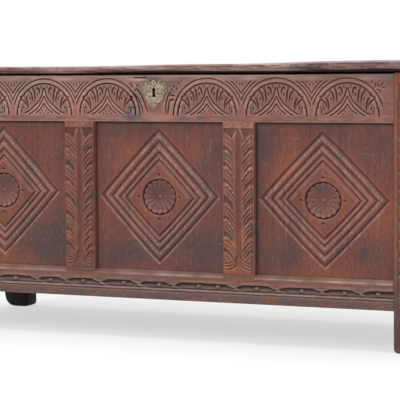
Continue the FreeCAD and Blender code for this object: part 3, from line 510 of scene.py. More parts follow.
# %% Cuts in a face
class Carving:
    """Heights of a carved face in millimetres, over a grid of points: u across it and v up it."""

    def __init__(self, across, up, step):
        self.step = step
        columns = round((across[1] - across[0]) / step) + 1
        rows = round((up[1] - up[0]) / step) + 1
        self.u, self.v = np.meshgrid(np.linspace(*across, columns), np.linspace(*up, rows))
        self.height = np.zeros_like(self.u)
        self.ground = self.height.copy()
        self.stain, self.glow, self.wear, self.depth = (np.zeros_like(self.u) for _ in range(4))

    @property
    def spread(self):
        """The places of the grid's points, a pair for each."""
        return np.stack([self.u, self.v], -1)

    def settle(self):
        """What is carved so far becomes the ground that later cuts go down from."""
        self.ground = self.height.copy()

    def cut(self, depth, where=...):
        """Goes down from the ground by a depth, unless the face is lower there already."""
        self.height[where] = np.minimum(self.height[where], self.ground[where] - depth)

    def near(self, points, reach):
        """The part of the grid that lies within reach of some points."""
        low = np.min(points, axis=0) - reach
        high = np.max(points, axis=0) + reach
        columns = np.searchsorted(self.u[0], (low[0], high[0]))
        rows = np.searchsorted(self.v[:, 0], (low[1], high[1]))
        return slice(*rows), slice(*columns)

    def gouge(self, path, width, depth, taper=0.3):
        """A cut along a curve that runs out towards both of its ends, over a share of its length."""
        points = smooth_path(path)
        where = self.near(points, width)
        u, v = self.u[where], self.v[where]
        nearest = np.full(u.shape, 1e6)
        along = np.zeros(u.shape)
        count = len(points) - 1
        for number, (a, b) in enumerate(zip(points, points[1:])):
            du, dv = b - a
            t = np.clip(((u - a[0]) * du + (v - a[1]) * dv) / (du * du + dv * dv), 0, 1)
            distance = np.hypot(u - a[0] - t * du, v - a[1] - t * dv)
            along = np.where(distance < nearest, (number + t) / count, along)
            nearest = np.minimum(distance, nearest)
        fade = np.sqrt(np.clip(np.minimum(along, 1 - along) / taper + 0.15, 0, 1))
        self.cut(depth * fade * hump(2 * nearest / (width * fade)), where)

    def punch(self, u, v, radius, depth):
        """A round dimple from a punch."""
        where = self.near([(u, v)], radius * 1.5)
        self.cut(depth * hump(np.hypot(self.u[where] - u, self.v[where] - v) / (radius * 1.4)), where)


sample = Carving((0, 20), (0, 10), step=1)
sample.gouge([(3, 5), (17, 5)], width=4, depth=2)
print("a sample cut is", round(float(-sample.height.min()), 2), "mm deep")


# %% Wear on a face
class WornCarving(Carving):
    """A carved face with what years add to it, stains, grime, glow and pale edges, and with painted shade and
    highlights.
    """

    def patch(self, u, v, wide, high):
        """A soft-edged patch: 1 in its middle, and little beyond its half width and half height."""
        return np.exp(-((self.u - u) / wide) ** 2 - ((self.v - v) / high) ** 2)

    def spot(self, layer, u, v, wide, high, amount):
        """Adds a patch to a layer of the face, by the layer's name."""
        field = getattr(self, layer)
        field += amount * self.patch(u, v, wide, high)

    def spots(self, table):
        """Adds a table of patches: rows by the layer's name, each as spot takes it."""
        for layer, rows in table.items():
            for row in rows:
                self.spot(layer, *row)

    def hand_made(self, seed, amount):
        """The unevenness that a hand plane and years of rubbing leave."""
        self.height += amount * (waver(self.spread, seed, 160) + 0.5 * waver(self.spread, seed + 1, 38))

    def round_edges(self, left, right, foot, head, rubbed):
        """Rounds the four edges of the board by their own radii, unevenly, and notes the rubbed ones."""
        sides = ((self.u - self.u.min(), left), (self.u.max() - self.u, right),
                 (self.v - self.v.min(), foot), (self.v.max() - self.v, head))
        uneven = 1 + 0.35 * waver(self.spread, 5, 60)
        for inset, radius in sides:
            reach = radius * uneven
            self.height -= corner_cut(inset, reach) * 0.9
            if radius > 1.5:
                self.wear += rubbed * np.clip(1 - inset / (reach * 1.6), 0, 1)

    def shades(self, dirt_and_shade, rub, slope_light_and_shade):
        """How dark and how pale each point is, from 0 to 1: sunk points darker and high ones paler, with a
        painted highlight where faces look up and painted shade where they look down.
        """
        reach = max(1, round(5 / self.step))
        step_back = softened(self.height, reach) - self.height
        looks_up = -np.gradient(self.height, self.step, axis=0)
        up, down = np.clip(looks_up, 0, 1), np.clip(-looks_up, 0, 1)
        # Painted light from above: faces that look up are paled, and faces that look down get shade.
        hollow = step_back / dirt_and_shade + slope_light_and_shade * (0.5 * down - up)
        return np.clip(hollow, 0, 1), np.clip(slope_light_and_shade * up - step_back / rub, 0, 1)

    def scratch(self, start, end, width, amount):
        """A pale scratch from one place to another."""
        where = self.near([start, end], width)
        u, v = self.u[where] - start[0], self.v[where] - start[1]
        du, dv = end[0] - start[0], end[1] - start[1]
        t = np.clip((u * du + v * dv) / (du * du + dv * dv), 0, 1)
        pale = amount * hump(np.hypot(u - t * du, v - t * dv) / width)
        self.wear[where] = np.maximum(self.wear[where], pale)

    def highlight_line(self, path, width, amount):
        """A pale line along a curve: a painted highlight on a ridge, with its wear."""
        points = smooth_path(path, 5)
        for start, end in zip(points, points[1:]):
            self.scratch(start, end, width, amount)


sample = WornCarving((0, 20), (0, 10), step=1)
sample.scratch((3, 5), (17, 5), width=2, amount=0.5)
print("a sample scratch is", float(sample.wear.max()), "pale")


# %% A carved face as a mesh
def carved_mesh(name, carving, hollow, wear, face, back, foot_round=0.0):
    """Makes the board's mesh: the carved grid in front, its rim drawn back, and a flat back."""
    rows, columns = carving.u.shape
    shape = bmesh.new()
    bmesh.ops.create_grid(shape, x_segments=columns - 1, y_segments=rows - 1, size=0.5)
    rim = [edge for edge in shape.edges if edge.is_boundary]
    drawn = bmesh.ops.extrude_edge_only(shape, edges=rim)["geom"]
    corners = [item for item in drawn if isinstance(item, bmesh.types.BMVert)]
    bmesh.ops.translate(shape, verts=corners, vec=(0, 0, -1))
    bmesh.ops.edgeloop_fill(shape, edges=[e for e in shape.edges if e.is_boundary])
    bmesh.ops.recalc_face_normals(shape, faces=shape.faces)
    for side in shape.faces:
        side.smooth = side.normal.z > 0.5
    mesh = mesh_of(shape, name)

    unit = points_of(mesh)
    column = np.rint((unit[:, 0] + 0.5) * (columns - 1)).astype(int)
    row = np.rint((unit[:, 1] + 0.5) * (rows - 1)).astype(int)
    in_front = unit[:, 2] > -0.5
    u, v = carving.u[row, column], carving.v[row, column]
    if foot_round:
        middle, half = (u.max() + u.min()) / 2, (u.max() - u.min()) / 2
        u = middle + (u - middle) * (1 - corner_cut(v - v.min(), foot_round) / half)
    y = np.where(in_front, face - carving.height[row, column], back)
    for layer, field in zip(LAYERS, (hollow, wear, carving.stain, carving.glow)):
        mark(mesh, layer, np.where(in_front, np.clip(field[row, column], 0, 1), 0))
    move_points(mesh, np.stack([u, y, v], -1))
    return mesh


def put_carved(node, finish, carving, hollow, wear, face=FRONT, foot_round=0.0):
    """Puts a carved board of the front in the scene, as deep as its solid."""
    mesh = carved_mesh(node, carving, hollow, wear, face, span(node, "y")[1], foot_round)
    put(node.replace("front_", "carved_"), mesh, finish, node)


print("each point of a carved face has its", *LAYERS)

# %% [markdown]
# ## Front panels
# Each panel is cut with a lozenge: two ridges and a bead between V grooves, mitred at the four points.
# Small chops run along the ridges. In the middle is a sunk rosette, with a punched dot at each quarter.
# A swept profile would need mending at each mitre.
# Here the distance in from the lozenge's side is one formula, so the whole moulding is a profile of it.

# %% Lozenge moulding
PANEL_FACE = span("front_middle_panel", "y")[0]
PANEL_TONGUE = 5.0
GROOVES = (1.0, 18.7, 35.0, 45.4)
GROOVE_DEPTH, CROWNS = 4.4, (0.9, 0.8, 0.0)
OUTER_SLOPE, INNER_SLOPE = 7.0, 5.0
RIDGE_ROUND = 2.3


def moulding(inset):
    """The height of the lozenge's profile, by the distance in from its side."""
    height = -GROOVE_DEPTH * rise(inset, GROOVES[0] - OUTER_SLOPE, GROOVES[0]) ** 1.5
    for low, high, crown in zip(GROOVES, GROOVES[1:], CROWNS):
        x = np.abs(2 * inset - low - high) / (high - low)
        ridge = crown * (1 - x ** 2) - GROOVE_DEPTH * np.minimum(x, 1) ** RIDGE_ROUND
        height = np.where((inset >= low) & (inset < high), ridge, height)
    inner = -GROOVE_DEPTH * (1 - rise(inset, GROOVES[-1], GROOVES[-1] + INNER_SLOPE))
    return np.where(inset >= GROOVES[-1], inner, height)


print("a lozenge is cut", GROOVE_DEPTH, "mm deep, with grooves", GROOVES, "mm in from its side")

# %% Rosette
ROSETTE_RADIUS, ROSETTE_SPREAD, PETALS = 44.6, 1.02, 16
RIM_DEPTH, BOWL_DEPTH, VEIN_DEPTH, MOAT_DEPTH = 2.4, 6.6, 1.9, 7.4
PETAL_END, SCALLOP_REACH = ROSETTE_RADIUS - 7.5, 4.8
EYE_RADIUS, EYE_HEIGHT = 5.0, 3.6
DOT_REACH, DOT_RADIUS, DOT_DEPTH = 54.0, 3.5, 4.6


def rosette(panel, middle, seed):
    """A sunk bowl of petals with scalloped ends, a small eye, and four punched dots round it."""
    u, v = panel.u - middle[0], panel.v - middle[1]
    radius, angle = np.hypot(u / ROSETTE_SPREAD, v), np.arctan2(v, u)
    scallop = np.abs(np.cos(angle * PETALS / 2))
    petal_end = PETAL_END + SCALLOP_REACH * np.sqrt(scallop)
    bowl = BOWL_DEPTH - (BOWL_DEPTH - RIM_DEPTH) * rise(radius, 4, ROSETTE_RADIUS - 3)
    fine = np.abs(np.cos(angle * PETALS))
    faint = np.clip(0.6 + 0.9 * waver(np.stack([u, v], -1), 33 + seed, 26), 0.15, 1)
    lines = np.maximum((1 - scallop) ** 1.6, 0.4 * (1 - fine) ** 3)
    veins = VEIN_DEPTH * lines * rise(radius, 5, 18) * faint
    moat = MOAT_DEPTH * rise(ROSETTE_RADIUS + 0.6 - radius, 0, 1.8)
    moat *= rise(radius, petal_end - 1.2, petal_end + 0.8)
    inside = rise(petal_end + 1.0 - radius, 0, 1.0)
    panel.cut(np.maximum((bowl + veins) * inside, moat))
    panel.height += EYE_HEIGHT * hump(radius / EYE_RADIUS)
    # Painted highlights on the scalloped tips of the lower petals, as lit from above, and a paler eye.
    tips = hump((radius - petal_end + 5) / 6) * scallop
    panel.wear += 0.4 * tips * rise(-v, 0, 34) + 0.3 * hump(radius / 3)
    for turn in range(4):
        way = turn * math.pi / 2
        across, up = DOT_REACH * math.cos(way), DOT_REACH * math.sin(way)
        panel.punch(middle[0] + across, middle[1] + up, DOT_RADIUS, DOT_DEPTH)
    # Painted shade in the sunk bowl, greyer and darker, and stronger towards its top.
    panel.stain += 0.75 * rise(ROSETTE_RADIUS - radius, 0, 8) * (0.85 + 0.3 * v / ROSETTE_RADIUS)


print("rosette", 2 * ROSETTE_RADIUS, "mm across, with", PETALS, "petals")

# %% [markdown]
# ## One lozenge like no other
# The three were set out by eye. Each has its own half width and half height, and is a little off the middle.
# It may lean, and its inner steps drop below the outer ones. Such numbers are kept in a table for each panel.
# The light comes from above, so the pale lines painted on the crowns, as wear and as highlights, differ
# between the upper and lower sides.

# %% Lozenge field
LOZENGES = {
    "left": {"half": (151.5, 156.5), "shift": -9.5, "lift": 6.0, "lean": 0.0, "drop": 3.0},
    "middle": {"half": (153.5, 159.5), "shift": -2.5, "lift": 0.0, "lean": 0.0, "drop": 4.8},
    "right": {"half": (156.5, 157.0), "shift": -3.0, "lift": 0.0, "lean": -0.018, "drop": 0.4},
}
BLUNT = 1.03
CHOP_PITCH, CHOP_DEPTH, CHOP_REACH = 9.5, 1.2, 8
# A highlight line, painted as wear and as light from above, is how far in it lies on the upper and on the
# lower sides, its half width, and how pale it is on the upper and on the lower sides.
RIDGE_HIGHLIGHTS = ((0.0, -4.5, 3.0, 0.0, 0.45), (8.6, 12.4, 4.6, 0.50, 0.30), (26.4, 28.0, 4.6, 0.50, 0.30),
          (41.6, 39.6, 3.0, 0.45, 0.40), (54.0, 54.0, 3.6, 0.40, 0.0))


def lozenge_field(panel, name, seed):
    """Cuts the lozenge, with the lean and the uneven steps that the carver gave it."""
    draft = LOZENGES[name]
    half_wide, half_high = draft["half"]
    slant = math.hypot(half_wide, half_high)
    spread = panel.spread
    wobble = 0.9 * waver(spread, 40 + seed, 90)
    u = panel.u - draft["shift"] - draft["lean"] * panel.v + wobble

    def inset_at(v):
        reach = ((np.abs(u) / half_wide) ** BLUNT + (np.abs(v) / half_high) ** BLUNT) ** (1 / BLUNT)
        return (1 - reach) * half_wide * half_high / slant

    v = panel.v - draft["lift"] + wobble
    v = v + draft["drop"] * rise(inset_at(v), 0, GROOVES[-1])
    inset = inset_at(v)
    panel.height = moulding(inset)
    run = (np.abs(v) * half_high - np.abs(u) * half_wide) / slant
    beat = 0.5 + 0.5 * np.cos(2 * np.pi * run / CHOP_PITCH + 2.5 * waver(spread, 60 + seed, 70))
    for low, high in zip(GROOVES[:2], GROOVES[1:3]):
        ridge = hump((inset - (low + high) / 2) / CHOP_REACH)
        panel.height -= CHOP_DEPTH * ridge * beat ** 3 * (0.7 + 0.5 * waver(spread, 65 + seed, 40))
    uneven = np.clip(0.85 + 0.7 * waver(spread, 45 + seed, 50) + 0.8 * waver(spread, 47 + seed, 13), 0, 1.7)
    # Painted highlights on the crowns, broken unevenly, standing for wear and for light from above.
    for high_place, low_place, reach, high_amount, low_amount in RIDGE_HIGHLIGHTS:
        panel.wear += high_amount * uneven * hump((inset - high_place) / reach) * (v > 0)
        panel.wear += low_amount * uneven * hump((inset - low_place) / reach) * (v <= 0)
    # A painted grey reflection on the outer ridge of the lozenge's right half.
    panel.stain += 0.5 * hump((inset - 10) / 9) * rise(u, -20, 20)
    panel.settle()


print(len(LOZENGES), "lozenges, with a chop about every", CHOP_PITCH, "mm along their ridges")

# %% Lozenge panels
# A spot is its place from the panel's middle, its half width, its half height and its strength.
PANEL_SPOTS = {
    "left": {"stain": [(120, -120, 80, 70, 1.3), (150, 60, 30, 120, 0.2)],
             "glow": [(0, 0, 60, 60, 0.8), (60, -170, 90, 18, 0.8), (120, 20, 40, 50, 0.5),
                      (90, 140, 70, 50, 0.3)]},
    "middle": {"stain": [(125, -130, 75, 65, 1.1), (140, 90, 50, 80, 0.55), (-140, 150, 60, 40, 0.35),
                         (-85, -138, 90, 45, 1.0), (0, 168, 160, 14, 0.4)],
               "glow": [(-75, 105, 40, 50, 0.9), (0, 10, 60, 75, 0.8), (-40, -174, 60, 12, 0.7),
                        (-150, -30, 30, 80, 0.35), (85, -80, 40, 40, 0.35)]},
    "right": {"stain": [(-150, 125, 30, 45, 0.9), (95, 135, 75, 40, 0.6), (-110, -130, 55, 40, 0.9),
                        (110, -120, 60, 45, 0.7), (-168, 0, 10, 180, 0.7), (20, 168, 60, 14, 0.5)],
              "glow": [(0, 10, 65, 75, 1.0), (-90, 90, 45, 55, 0.8), (20, -174, 140, 14, 0.6),
                       (135, -60, 45, 70, 0.7), (60, 110, 40, 40, 0.3)]},
}
ROSETTE_MIDDLES = {"left": (-11.0, 5.0), "middle": (-2.5, -2.6), "right": (-4.8, -1.6)}
SCRATCHES, SCRATCH_WIDTH = 16, 1.7
BROAD_STEP = 1.25


def lozenge_panel(name, seed):
    """Carves one panel, with its tongue hidden in the frame's grooves, and puts it in the scene."""
    node = f"front_{name}_panel"
    middle = sum(span(node, "x")) / 2
    centre = (SILL_TOP + HEAD_FOOT) / 2
    stop = -span("front_left_muntin", "x")[1] if name == "middle" else SHOULDER - abs(middle)
    half_wide, half_high = stop + PANEL_TONGUE, (HEAD_FOOT - SILL_TOP) / 2 + PANEL_TONGUE
    panel = WornCarving((-half_wide, half_wide), (-half_high, half_high), BROAD_STEP)
    lozenge_field(panel, name, seed)
    rosette(panel, ROSETTE_MIDDLES[name], seed)
    hollow, wear = panel.shades(dirt_and_shade=3.4, rub=12.0, slope_light_and_shade=0.5)
    panel.hand_made(seed=20 + seed, amount=0.3)
    dice = np.random.RandomState(200 + seed)
    for number in range(SCRATCHES):
        start = dice.uniform((-half_wide, -half_high), (half_wide, half_high))
        run = dice.uniform(8, 34) * np.array((1, 0.12) if number % 3 else (0.1, 1))
        panel.scratch(start, start + run * dice.choice((-1, 1), 2), SCRATCH_WIDTH, dice.uniform(0.12, 0.4))
    panel.spots(PANEL_SPOTS[name])
    # Painted shadow along the top edge under the rail, and down the sides beside the muntins and stiles.
    shadow_under_rail = rise(half_high - PANEL_TONGUE - panel.v, 6.5, 1.5)
    beside = rise(half_wide - PANEL_TONGUE - np.abs(panel.u), 6.5, 1)
    hollow = np.maximum(0.8 * hollow, np.maximum(0.85 * shadow_under_rail, 0.6 * beside))
    panel.u += middle
    panel.v += centre
    put_carved(node, OAK_PANEL, panel, hollow, wear + panel.wear, PANEL_FACE)


for panel_number, panel_name in enumerate(LOZENGES):
    lozenge_panel(panel_name, panel_number)

# %% [markdown]
# ## Top rail
# Six lunettes run along it, three on each side of the middle. Each is a round arch of two lines with a tent
# of three lines under it, and curled leaflets fill the field between. More arcs fall from arch to arch,
# and nicks from a small gouge fill the corners. All of it is lines cut into a flat face.
# A carver draws one half and mirrors it, so the lines are short paths that are laid to the left and right.

# %% Where the keyhole is
KEY_LOW, KEY_HIGH = (np.array(corner) / MM for corner in next(
    room["box_m"] for room in frame["record"]["physics"]["openings"] if room["name"] == "keyhole"))
KEY_X, KEY_TOP, KEY_FOOT = (KEY_LOW[0] + KEY_HIGH[0]) / 2, KEY_HIGH[2], KEY_LOW[2]
print("keyhole at", round(KEY_X, 1), "from", round(KEY_FOOT, 1), "to", round(KEY_TOP, 1))

# %% Lines of a lunette
# An arch is its radius, its width and its depth. A path runs from the lunette's middle and foot.
ARCHES = ((88.0, 5.2, 3.0), (76.4, 6.0, 3.4))
SPANDREL_LINES, SPANDREL_WIDTH, SPANDREL_DEPTH = (95.7, 102.8), 5.0, 3.0
SPANDREL_HALF, SPANDREL_TOP = 88.3, 81.0
TIP_LINE, TIP_LINE_WIDTH, TIP_LINE_DEPTH = 65.5, 4.6, 2.2
LUNETTE_REACH = 95
LOCK_SIDE = 200.0
FIELD_DARKENING = 0.24
TENT_LINES = (
    [(0.5, 66), (2.5, 62), (6, 48), (15, 33), (28, 21), (43, 9), (59, 2)],
    [(0.5, 47), (3.5, 38), (15, 20.5), (31, 7), (44, 0)],
    [(0.5, 28), (3, 23), (11, 13), (25, 3)],
)
STALK = [(66, 25), (64, 14), (63.5, 2)]
LEAFLETS = (
    [(68, 39), (61, 36), (54, 30), (50.5, 20)],
    [(56, 44), (50, 38), (47, 27), (46, 12)],
    [(44, 56), (38, 54), (34, 44), (32.5, 31)],
    [(32, 64), (28.5, 59), (26.5, 46), (25.5, 30)],
    [(20, 69), (17, 65), (14, 60), (12.5, 50)],
)
LEAF_TIPS = ([(23, 62), (18, 69)], [(45, 56), (39, 61)], [(69, 41), (64, 47)], [(74, 19), (69, 18)],
             [(58, 45), (54, 52)], [(33, 62), (29, 68)], [(9, 66), (8, 72)], [(60, 22), (57, 14)],
             [(41, 45), (39, 36)], [(20, 56), (19, 46)])
# A cut is its width, its depth and the share of its length over which it runs out.
TENT_CUT, STALK_CUT = (5.2, 3.2, 0.08), (4.8, 2.2, 0.3)
LEAFLET_CUT, TIP_CUT = (6.6, 3.8, 0.3), (5.0, 3.2, 0.3)
HALF_LUNETTE = (((STALK,), STALK_CUT), (TENT_LINES, TENT_CUT), (LEAFLETS, LEAFLET_CUT), (LEAF_TIPS, TIP_CUT))
TENT_NICKS, TENT_NICK_CUT = ((0, 17), (-6, 10), (6, 10), (-12, 4), (12, 4)), (3.6, 2.4)
NICK_HALF = 3
print("a lunette has", 2 * sum(len(paths) for paths, _ in HALF_LUNETTE), "gouged lines")


# %% One lunette
def nicks(rail, middle, foot, places, lean, cut):
    """Short upright nicks at some places, whose lower ends lean towards the middle by a factor."""
    for a, b in places:
        rail.gouge([(middle + a, foot + b + NICK_HALF), (middle + a * lean, foot + b - NICK_HALF)], *cut)


def lunette(rail, middle, foot, falls):
    """One arch with its tent and leaflets; falls are the sides, -1 or 1, where arcs fall to the next arch."""
    where = rail.near([(middle - LUNETTE_REACH, foot - 4), (middle + LUNETTE_REACH, foot + LUNETTE_REACH)], 0)
    u, v = rail.u[where] - middle, rail.v[where] - foot
    spread = np.stack([u + middle, v], -1)
    radius = np.hypot(u, v) + 0.7 * waver(spread, 31, 60)
    faded = falls if abs(middle) < LOCK_SIDE else (-1, 1)
    joined = sum((side * u > 0) * rise(v, 32, 20) for side in faded)
    for (arch, width, depth), stop in zip(ARCHES, (joined, 0.0)):
        rail.cut(depth * hump(2 * (radius - arch) / width) * (v > -1) * (1 - stop), where)
    for side in falls:
        kept = (side * u > 0) & (side * u < SPANDREL_HALF) & (v > 0) & (v < SPANDREL_TOP)
        for reach in SPANDREL_LINES:
            rail.cut(SPANDREL_DEPTH * hump(2 * (radius - reach) / SPANDREL_WIDTH) * kept, where)
    patchy = np.clip(0.6 + 1.2 * waver(spread, 33, 26), 0, 1)
    rail.cut(TIP_LINE_DEPTH * patchy * hump(2 * (radius - TIP_LINE) / TIP_LINE_WIDTH) * (v > 24), where)
    for side in (-1, 1):
        for paths, cut in HALF_LUNETTE:
            for path in paths:
                rail.gouge(laid_at(path, middle, foot, side), *cut)
    tent = np.interp(np.abs(u), *np.array(TENT_LINES[0]).T)
    # The field inside the inner arch, above the tent, is made darker.
    rail.depth[where] += FIELD_DARKENING * (v > tent) * rise(ARCHES[1][0] - radius, 0, 2) * (np.abs(u) < 62)
    nicks(rail, middle, foot, TENT_NICKS, 0.9, TENT_NICK_CUT)


print("a lunette is", 2 * ARCHES[0][0], "mm wide")

# %% Lunette frieze
LUNETTES = (-485.5, -308.5, -133.0, 132.0, 310.0, 486.0)
LUNETTE_FOOT = 16.0
SPANDREL_NICKS, SPANDREL_NICK_CUT = ((-13, 79), (13, 79), (-4.5, 73), (4.5, 73)), (4.0, 2.4)
LOCK_LINES = (
    [(-56, 66), (-44, 54), (-34, 33), (-24, 8)], [(-60, 53), (-48, 38), (-40, 22), (-36, 2)],
    [(39, 58), (31, 46), (25, 25), (24.5, 2)], [(43, 38), (34, 33), (31, 15), (28.5, 2)],
    [(36, 49), (42, 47), (48, 48)], [(37, 39), (42, 37), (47, 38)],
)
LOCK_NICKS = ((-65, 70), (-70, 76), (-58, 61), (-52, 72), (46, 69), (59, 78), (54, 64), (66, 83), (40, 62))
END_SPRIG = (
    [(545, 80), (544, 75)], [(553, 77), (553.5, 70), (550, 65)], [(561, 78), (559, 71), (563, 67)],
    [(574, 77), (567, 72), (563, 67)], [(556, 62), (562, 60), (568, 55)], [(577, 67), (569, 66)],
)
SPLIT = [(-62, 91), (-45, 90.5), (-24, 91.5)]
SPRAY_CUT, LOCK_NICK_CUT, SPLIT_CUT = (4.4, 2.8, 0.15), (4.4, 2.6), (3.8, 3.2, 0.15)
RAIL_FOOT = HEAD_FOOT + LUNETTE_FOOT


def frieze(rail):
    """Cuts the lunettes, the nicks between them, sprays by the lock and at the ends, and a split."""
    for middle in LUNETTES:
        nexts = [other for other in LUNETTES if 0 < abs(other - middle) < 2.1 * SPANDREL_HALF]
        lunette(rail, middle, RAIL_FOOT, [1 if other > middle else -1 for other in nexts])
        for other in nexts:
            if other > middle:
                nicks(rail, (middle + other) / 2, RAIL_FOOT, SPANDREL_NICKS, 0.85, SPANDREL_NICK_CUT)
    for path in LOCK_LINES:
        rail.gouge(laid_at(path, 0, RAIL_FOOT), *SPRAY_CUT)
    for a, b in LOCK_NICKS:
        rail.gouge([(a - 2, RAIL_FOOT + b + 2.5), (a + 2, RAIL_FOOT + b - 2.5)], *LOCK_NICK_CUT)
    for side in (-1, 1):
        for path in END_SPRIG:
            rail.gouge(laid_at(path, 0, RAIL_FOOT, side), *SPRAY_CUT)
    rail.gouge(laid_at(SPLIT, 0, RAIL_FOOT), *SPLIT_CUT)


top_rail = WornCarving((-SHOULDER, SHOULDER), (HEAD_FOOT, HEAD_TOP), BROAD_STEP)
frieze(top_rail)
print("frieze cut", round(float(-top_rail.height.min()), 1), "mm deep")

# %% [markdown]
# ## The tone of the top rail
# Hands and keys have darkened the wood round the lock, and the lid has rubbed the rail's upper edge, which is
# also painted paler as a highlight.
# The left half is worn more than the right.
# Single spots are listed in a table, and the many small ones are drawn by chance.

# %% Tone of the top rail
RAIL_SPOTS = {
    "stain": [(-63, 549, 19, 23, 1.4), (500, 600, 160, 60, 0.25), (-16, 636, 30, 8, 1.0),
              (46, 612, 12, 16, 0.7), (66, 540, 18, 9, 0.7), (-52, 600, 18, 22, 0.6)],
    "glow": [(8, 540, 30, 9, 1.7), (-25, 543, 16, 7, 1.2)],
    "wear": [(-45, 631, 22, 3.5, 0.9), (-4, 540, 34, 8, 0.4), (-66, 607, 7, 6, 0.6), (-58, 616, 6, 5, 0.5),
             (52, 596, 7, 5, 0.4)],
}
CLEANED, CLEANED_PLACE = 0.4, (-63, 552, 26, 30)
ARRIS_SIDES, ARRIS_WEAR_AND_HIGHLIGHT = (100, 450), (1.2, 0.2)
CHANCE_ENDS = (-570, 600)
UPPER_CHANCES = {"wear": 0.7, "stain": 0.6}
LOWER_CHANCES = {"wear": 0.35, "stain": 0.8, "glow": 0.8, "depth": 0.2}


def rail_tone(rail):
    """How dark and how pale the top rail is, painted shade and highlights included."""
    hollow, wear = rail.shades(dirt_and_shade=1.5, rub=1.3, slope_light_and_shade=0.3)
    rail.hand_made(seed=3, amount=0.3)
    rail.round_edges(left=0.8, right=0.8, foot=1.8, head=3.0, rubbed=0.9)
    rail.spots(RAIL_SPOTS)
    hollow -= CLEANED * rail.patch(*CLEANED_PLACE)
    rail.depth += 0.09 * rise(rail.v, RAIL_FOOT, RAIL_FOOT - 5) + 0.05 * rise(rail.u, 80, 250)
    # The upper arris is paler: rubbed by the lid, and a painted highlight, most on the left.
    arris = rise(HEAD_TOP - rail.v, 8, 3) * (0.9 + 0.3 * waver(rail.spread, 36, 90))
    rail.wear += arris * np.interp(rail.u, ARRIS_SIDES, ARRIS_WEAR_AND_HIGHLIGHT)
    # Painted shadow of the lid on the rail's upper strip towards the right end.
    rail.depth += 0.24 * rise(rail.u, 150, 480) * rise(rail.v, HEAD_TOP - 30, HEAD_TOP - 12)
    to_left = rise(-rail.u, 60, 250)
    hollow *= 1 + 0.2 * to_left
    wear *= 1 + 0.4 * to_left
    dice = np.random.default_rng(9)
    for x in np.arange(*CHANCE_ENDS, 38):
        for layer, most in UPPER_CHANCES.items():
            across = x + dice.uniform(-18, 18)
            rail.spot(layer, across, HEAD_TOP - 9, 24, 6, dice.uniform(0, most))
    for x in np.arange(*CHANCE_ENDS, 26):
        for layer, most in LOWER_CHANCES.items():
            up = HEAD_FOOT + dice.uniform(2, 13)
            across = x + dice.uniform(-13, 13)
            rail.spot(layer, across, up, dice.uniform(9, 24), 3.5, dice.uniform(0, most))
    # Painted shade in the keyhole, spreading a little round the escutcheon.
    rail.spot("depth", KEY_X, KEY_TOP - 6, 22, 25, 1.3)
    return np.maximum(0.95 * hollow, rail.depth), np.maximum(wear * 0.6, rail.wear)


top_rail_mesh = carved_mesh("front_top_rail", top_rail, *rail_tone(top_rail), FRONT, RAIL_BACK)
print("top rail:", len(top_rail_mesh.polygons), "faces before the lock's hollow is cut")

# %% [markdown]
# ## The lock's hollow
# Behind the keyhole the rail is cut out for the lock, with a slot in its top edge for the lid's staple.
# These go right through the board, which a grid of heights can't show.
# So a Boolean modifier takes blocks and a round out of the carved board, and the result is kept as its mesh.

# %% Shapes to cut with
DRILL_SIDES = 24


def block(low, high):
    """A block between two corners in millimetres."""
    low, high = Vector(low), Vector(high)
    size = Matrix.Diagonal((high - low) * MM).to_4x4()
    shape = bmesh.new()
    bmesh.ops.create_cube(shape, size=1, matrix=Matrix.Translation((low + high) / 2 * MM) @ size)
    return shape


def drill(place, radius, depth):
    """A round along Y at a place in millimetres."""
    turn = Matrix.Translation(Vector(place) * MM) @ Matrix.Rotation(math.pi / 2, 4, "X")
    shape = bmesh.new()
    bmesh.ops.create_cone(shape, cap_ends=True, segments=DRILL_SIDES, radius1=radius * MM,
                          radius2=radius * MM, depth=depth * MM, matrix=turn)
    return shape


def hollow_out(mesh, shapes):
    """Cuts some shapes out of a mesh, one after the other."""
    board = new_object("board_to_cut", mesh)
    knives = [new_object("knife", mesh_of(shape, "knife")) for shape in shapes]
    for knife in knives:
        taking = board.modifiers.new("cut", "BOOLEAN")
        taking.operation = "DIFFERENCE"
        taking.solver = "MANIFOLD"
        taking.object = knife
    bpy.context.view_layer.update()
    result = bpy.data.meshes.new_from_object(board.evaluated_get(bpy.context.evaluated_depsgraph_get()))
    result.materials.clear()
    for item in (board, *knives):
        bpy.data.objects.remove(item)
    return result


print("a drill has", DRILL_SIDES, "sides")

# %% Keyhole and recess
KEY_ROUND, KEY_SLOT = 4.6, 3.8
RECESS_FRONT = FRONT + 16
PLATE = span("lock_plate", "x") + span("lock_plate", "z")
PLATE_MARGIN = 7.5
SLOT_HALF = 5.0
INSIDE_SHADE = 2


def darken_inside(mesh):
    """Paints the walls of the keyhole and of the lock's recess black, as shade."""
    x, y, z = (points_of(mesh) / MM).T
    inside = (y > FRONT + 1.5) & (y < RAIL_BACK - 0.5) & (x > PLATE[0]) & (x < PLATE[1])
    inside &= (z > PLATE[2]) & (z < PLATE[3])
    dirt_and_shade = np.empty(len(x), np.float32)
    mesh.attributes["hollow"].data.foreach_get("value", dirt_and_shade)
    mark(mesh, "hollow", np.where(inside, INSIDE_SHADE, dirt_and_shade))


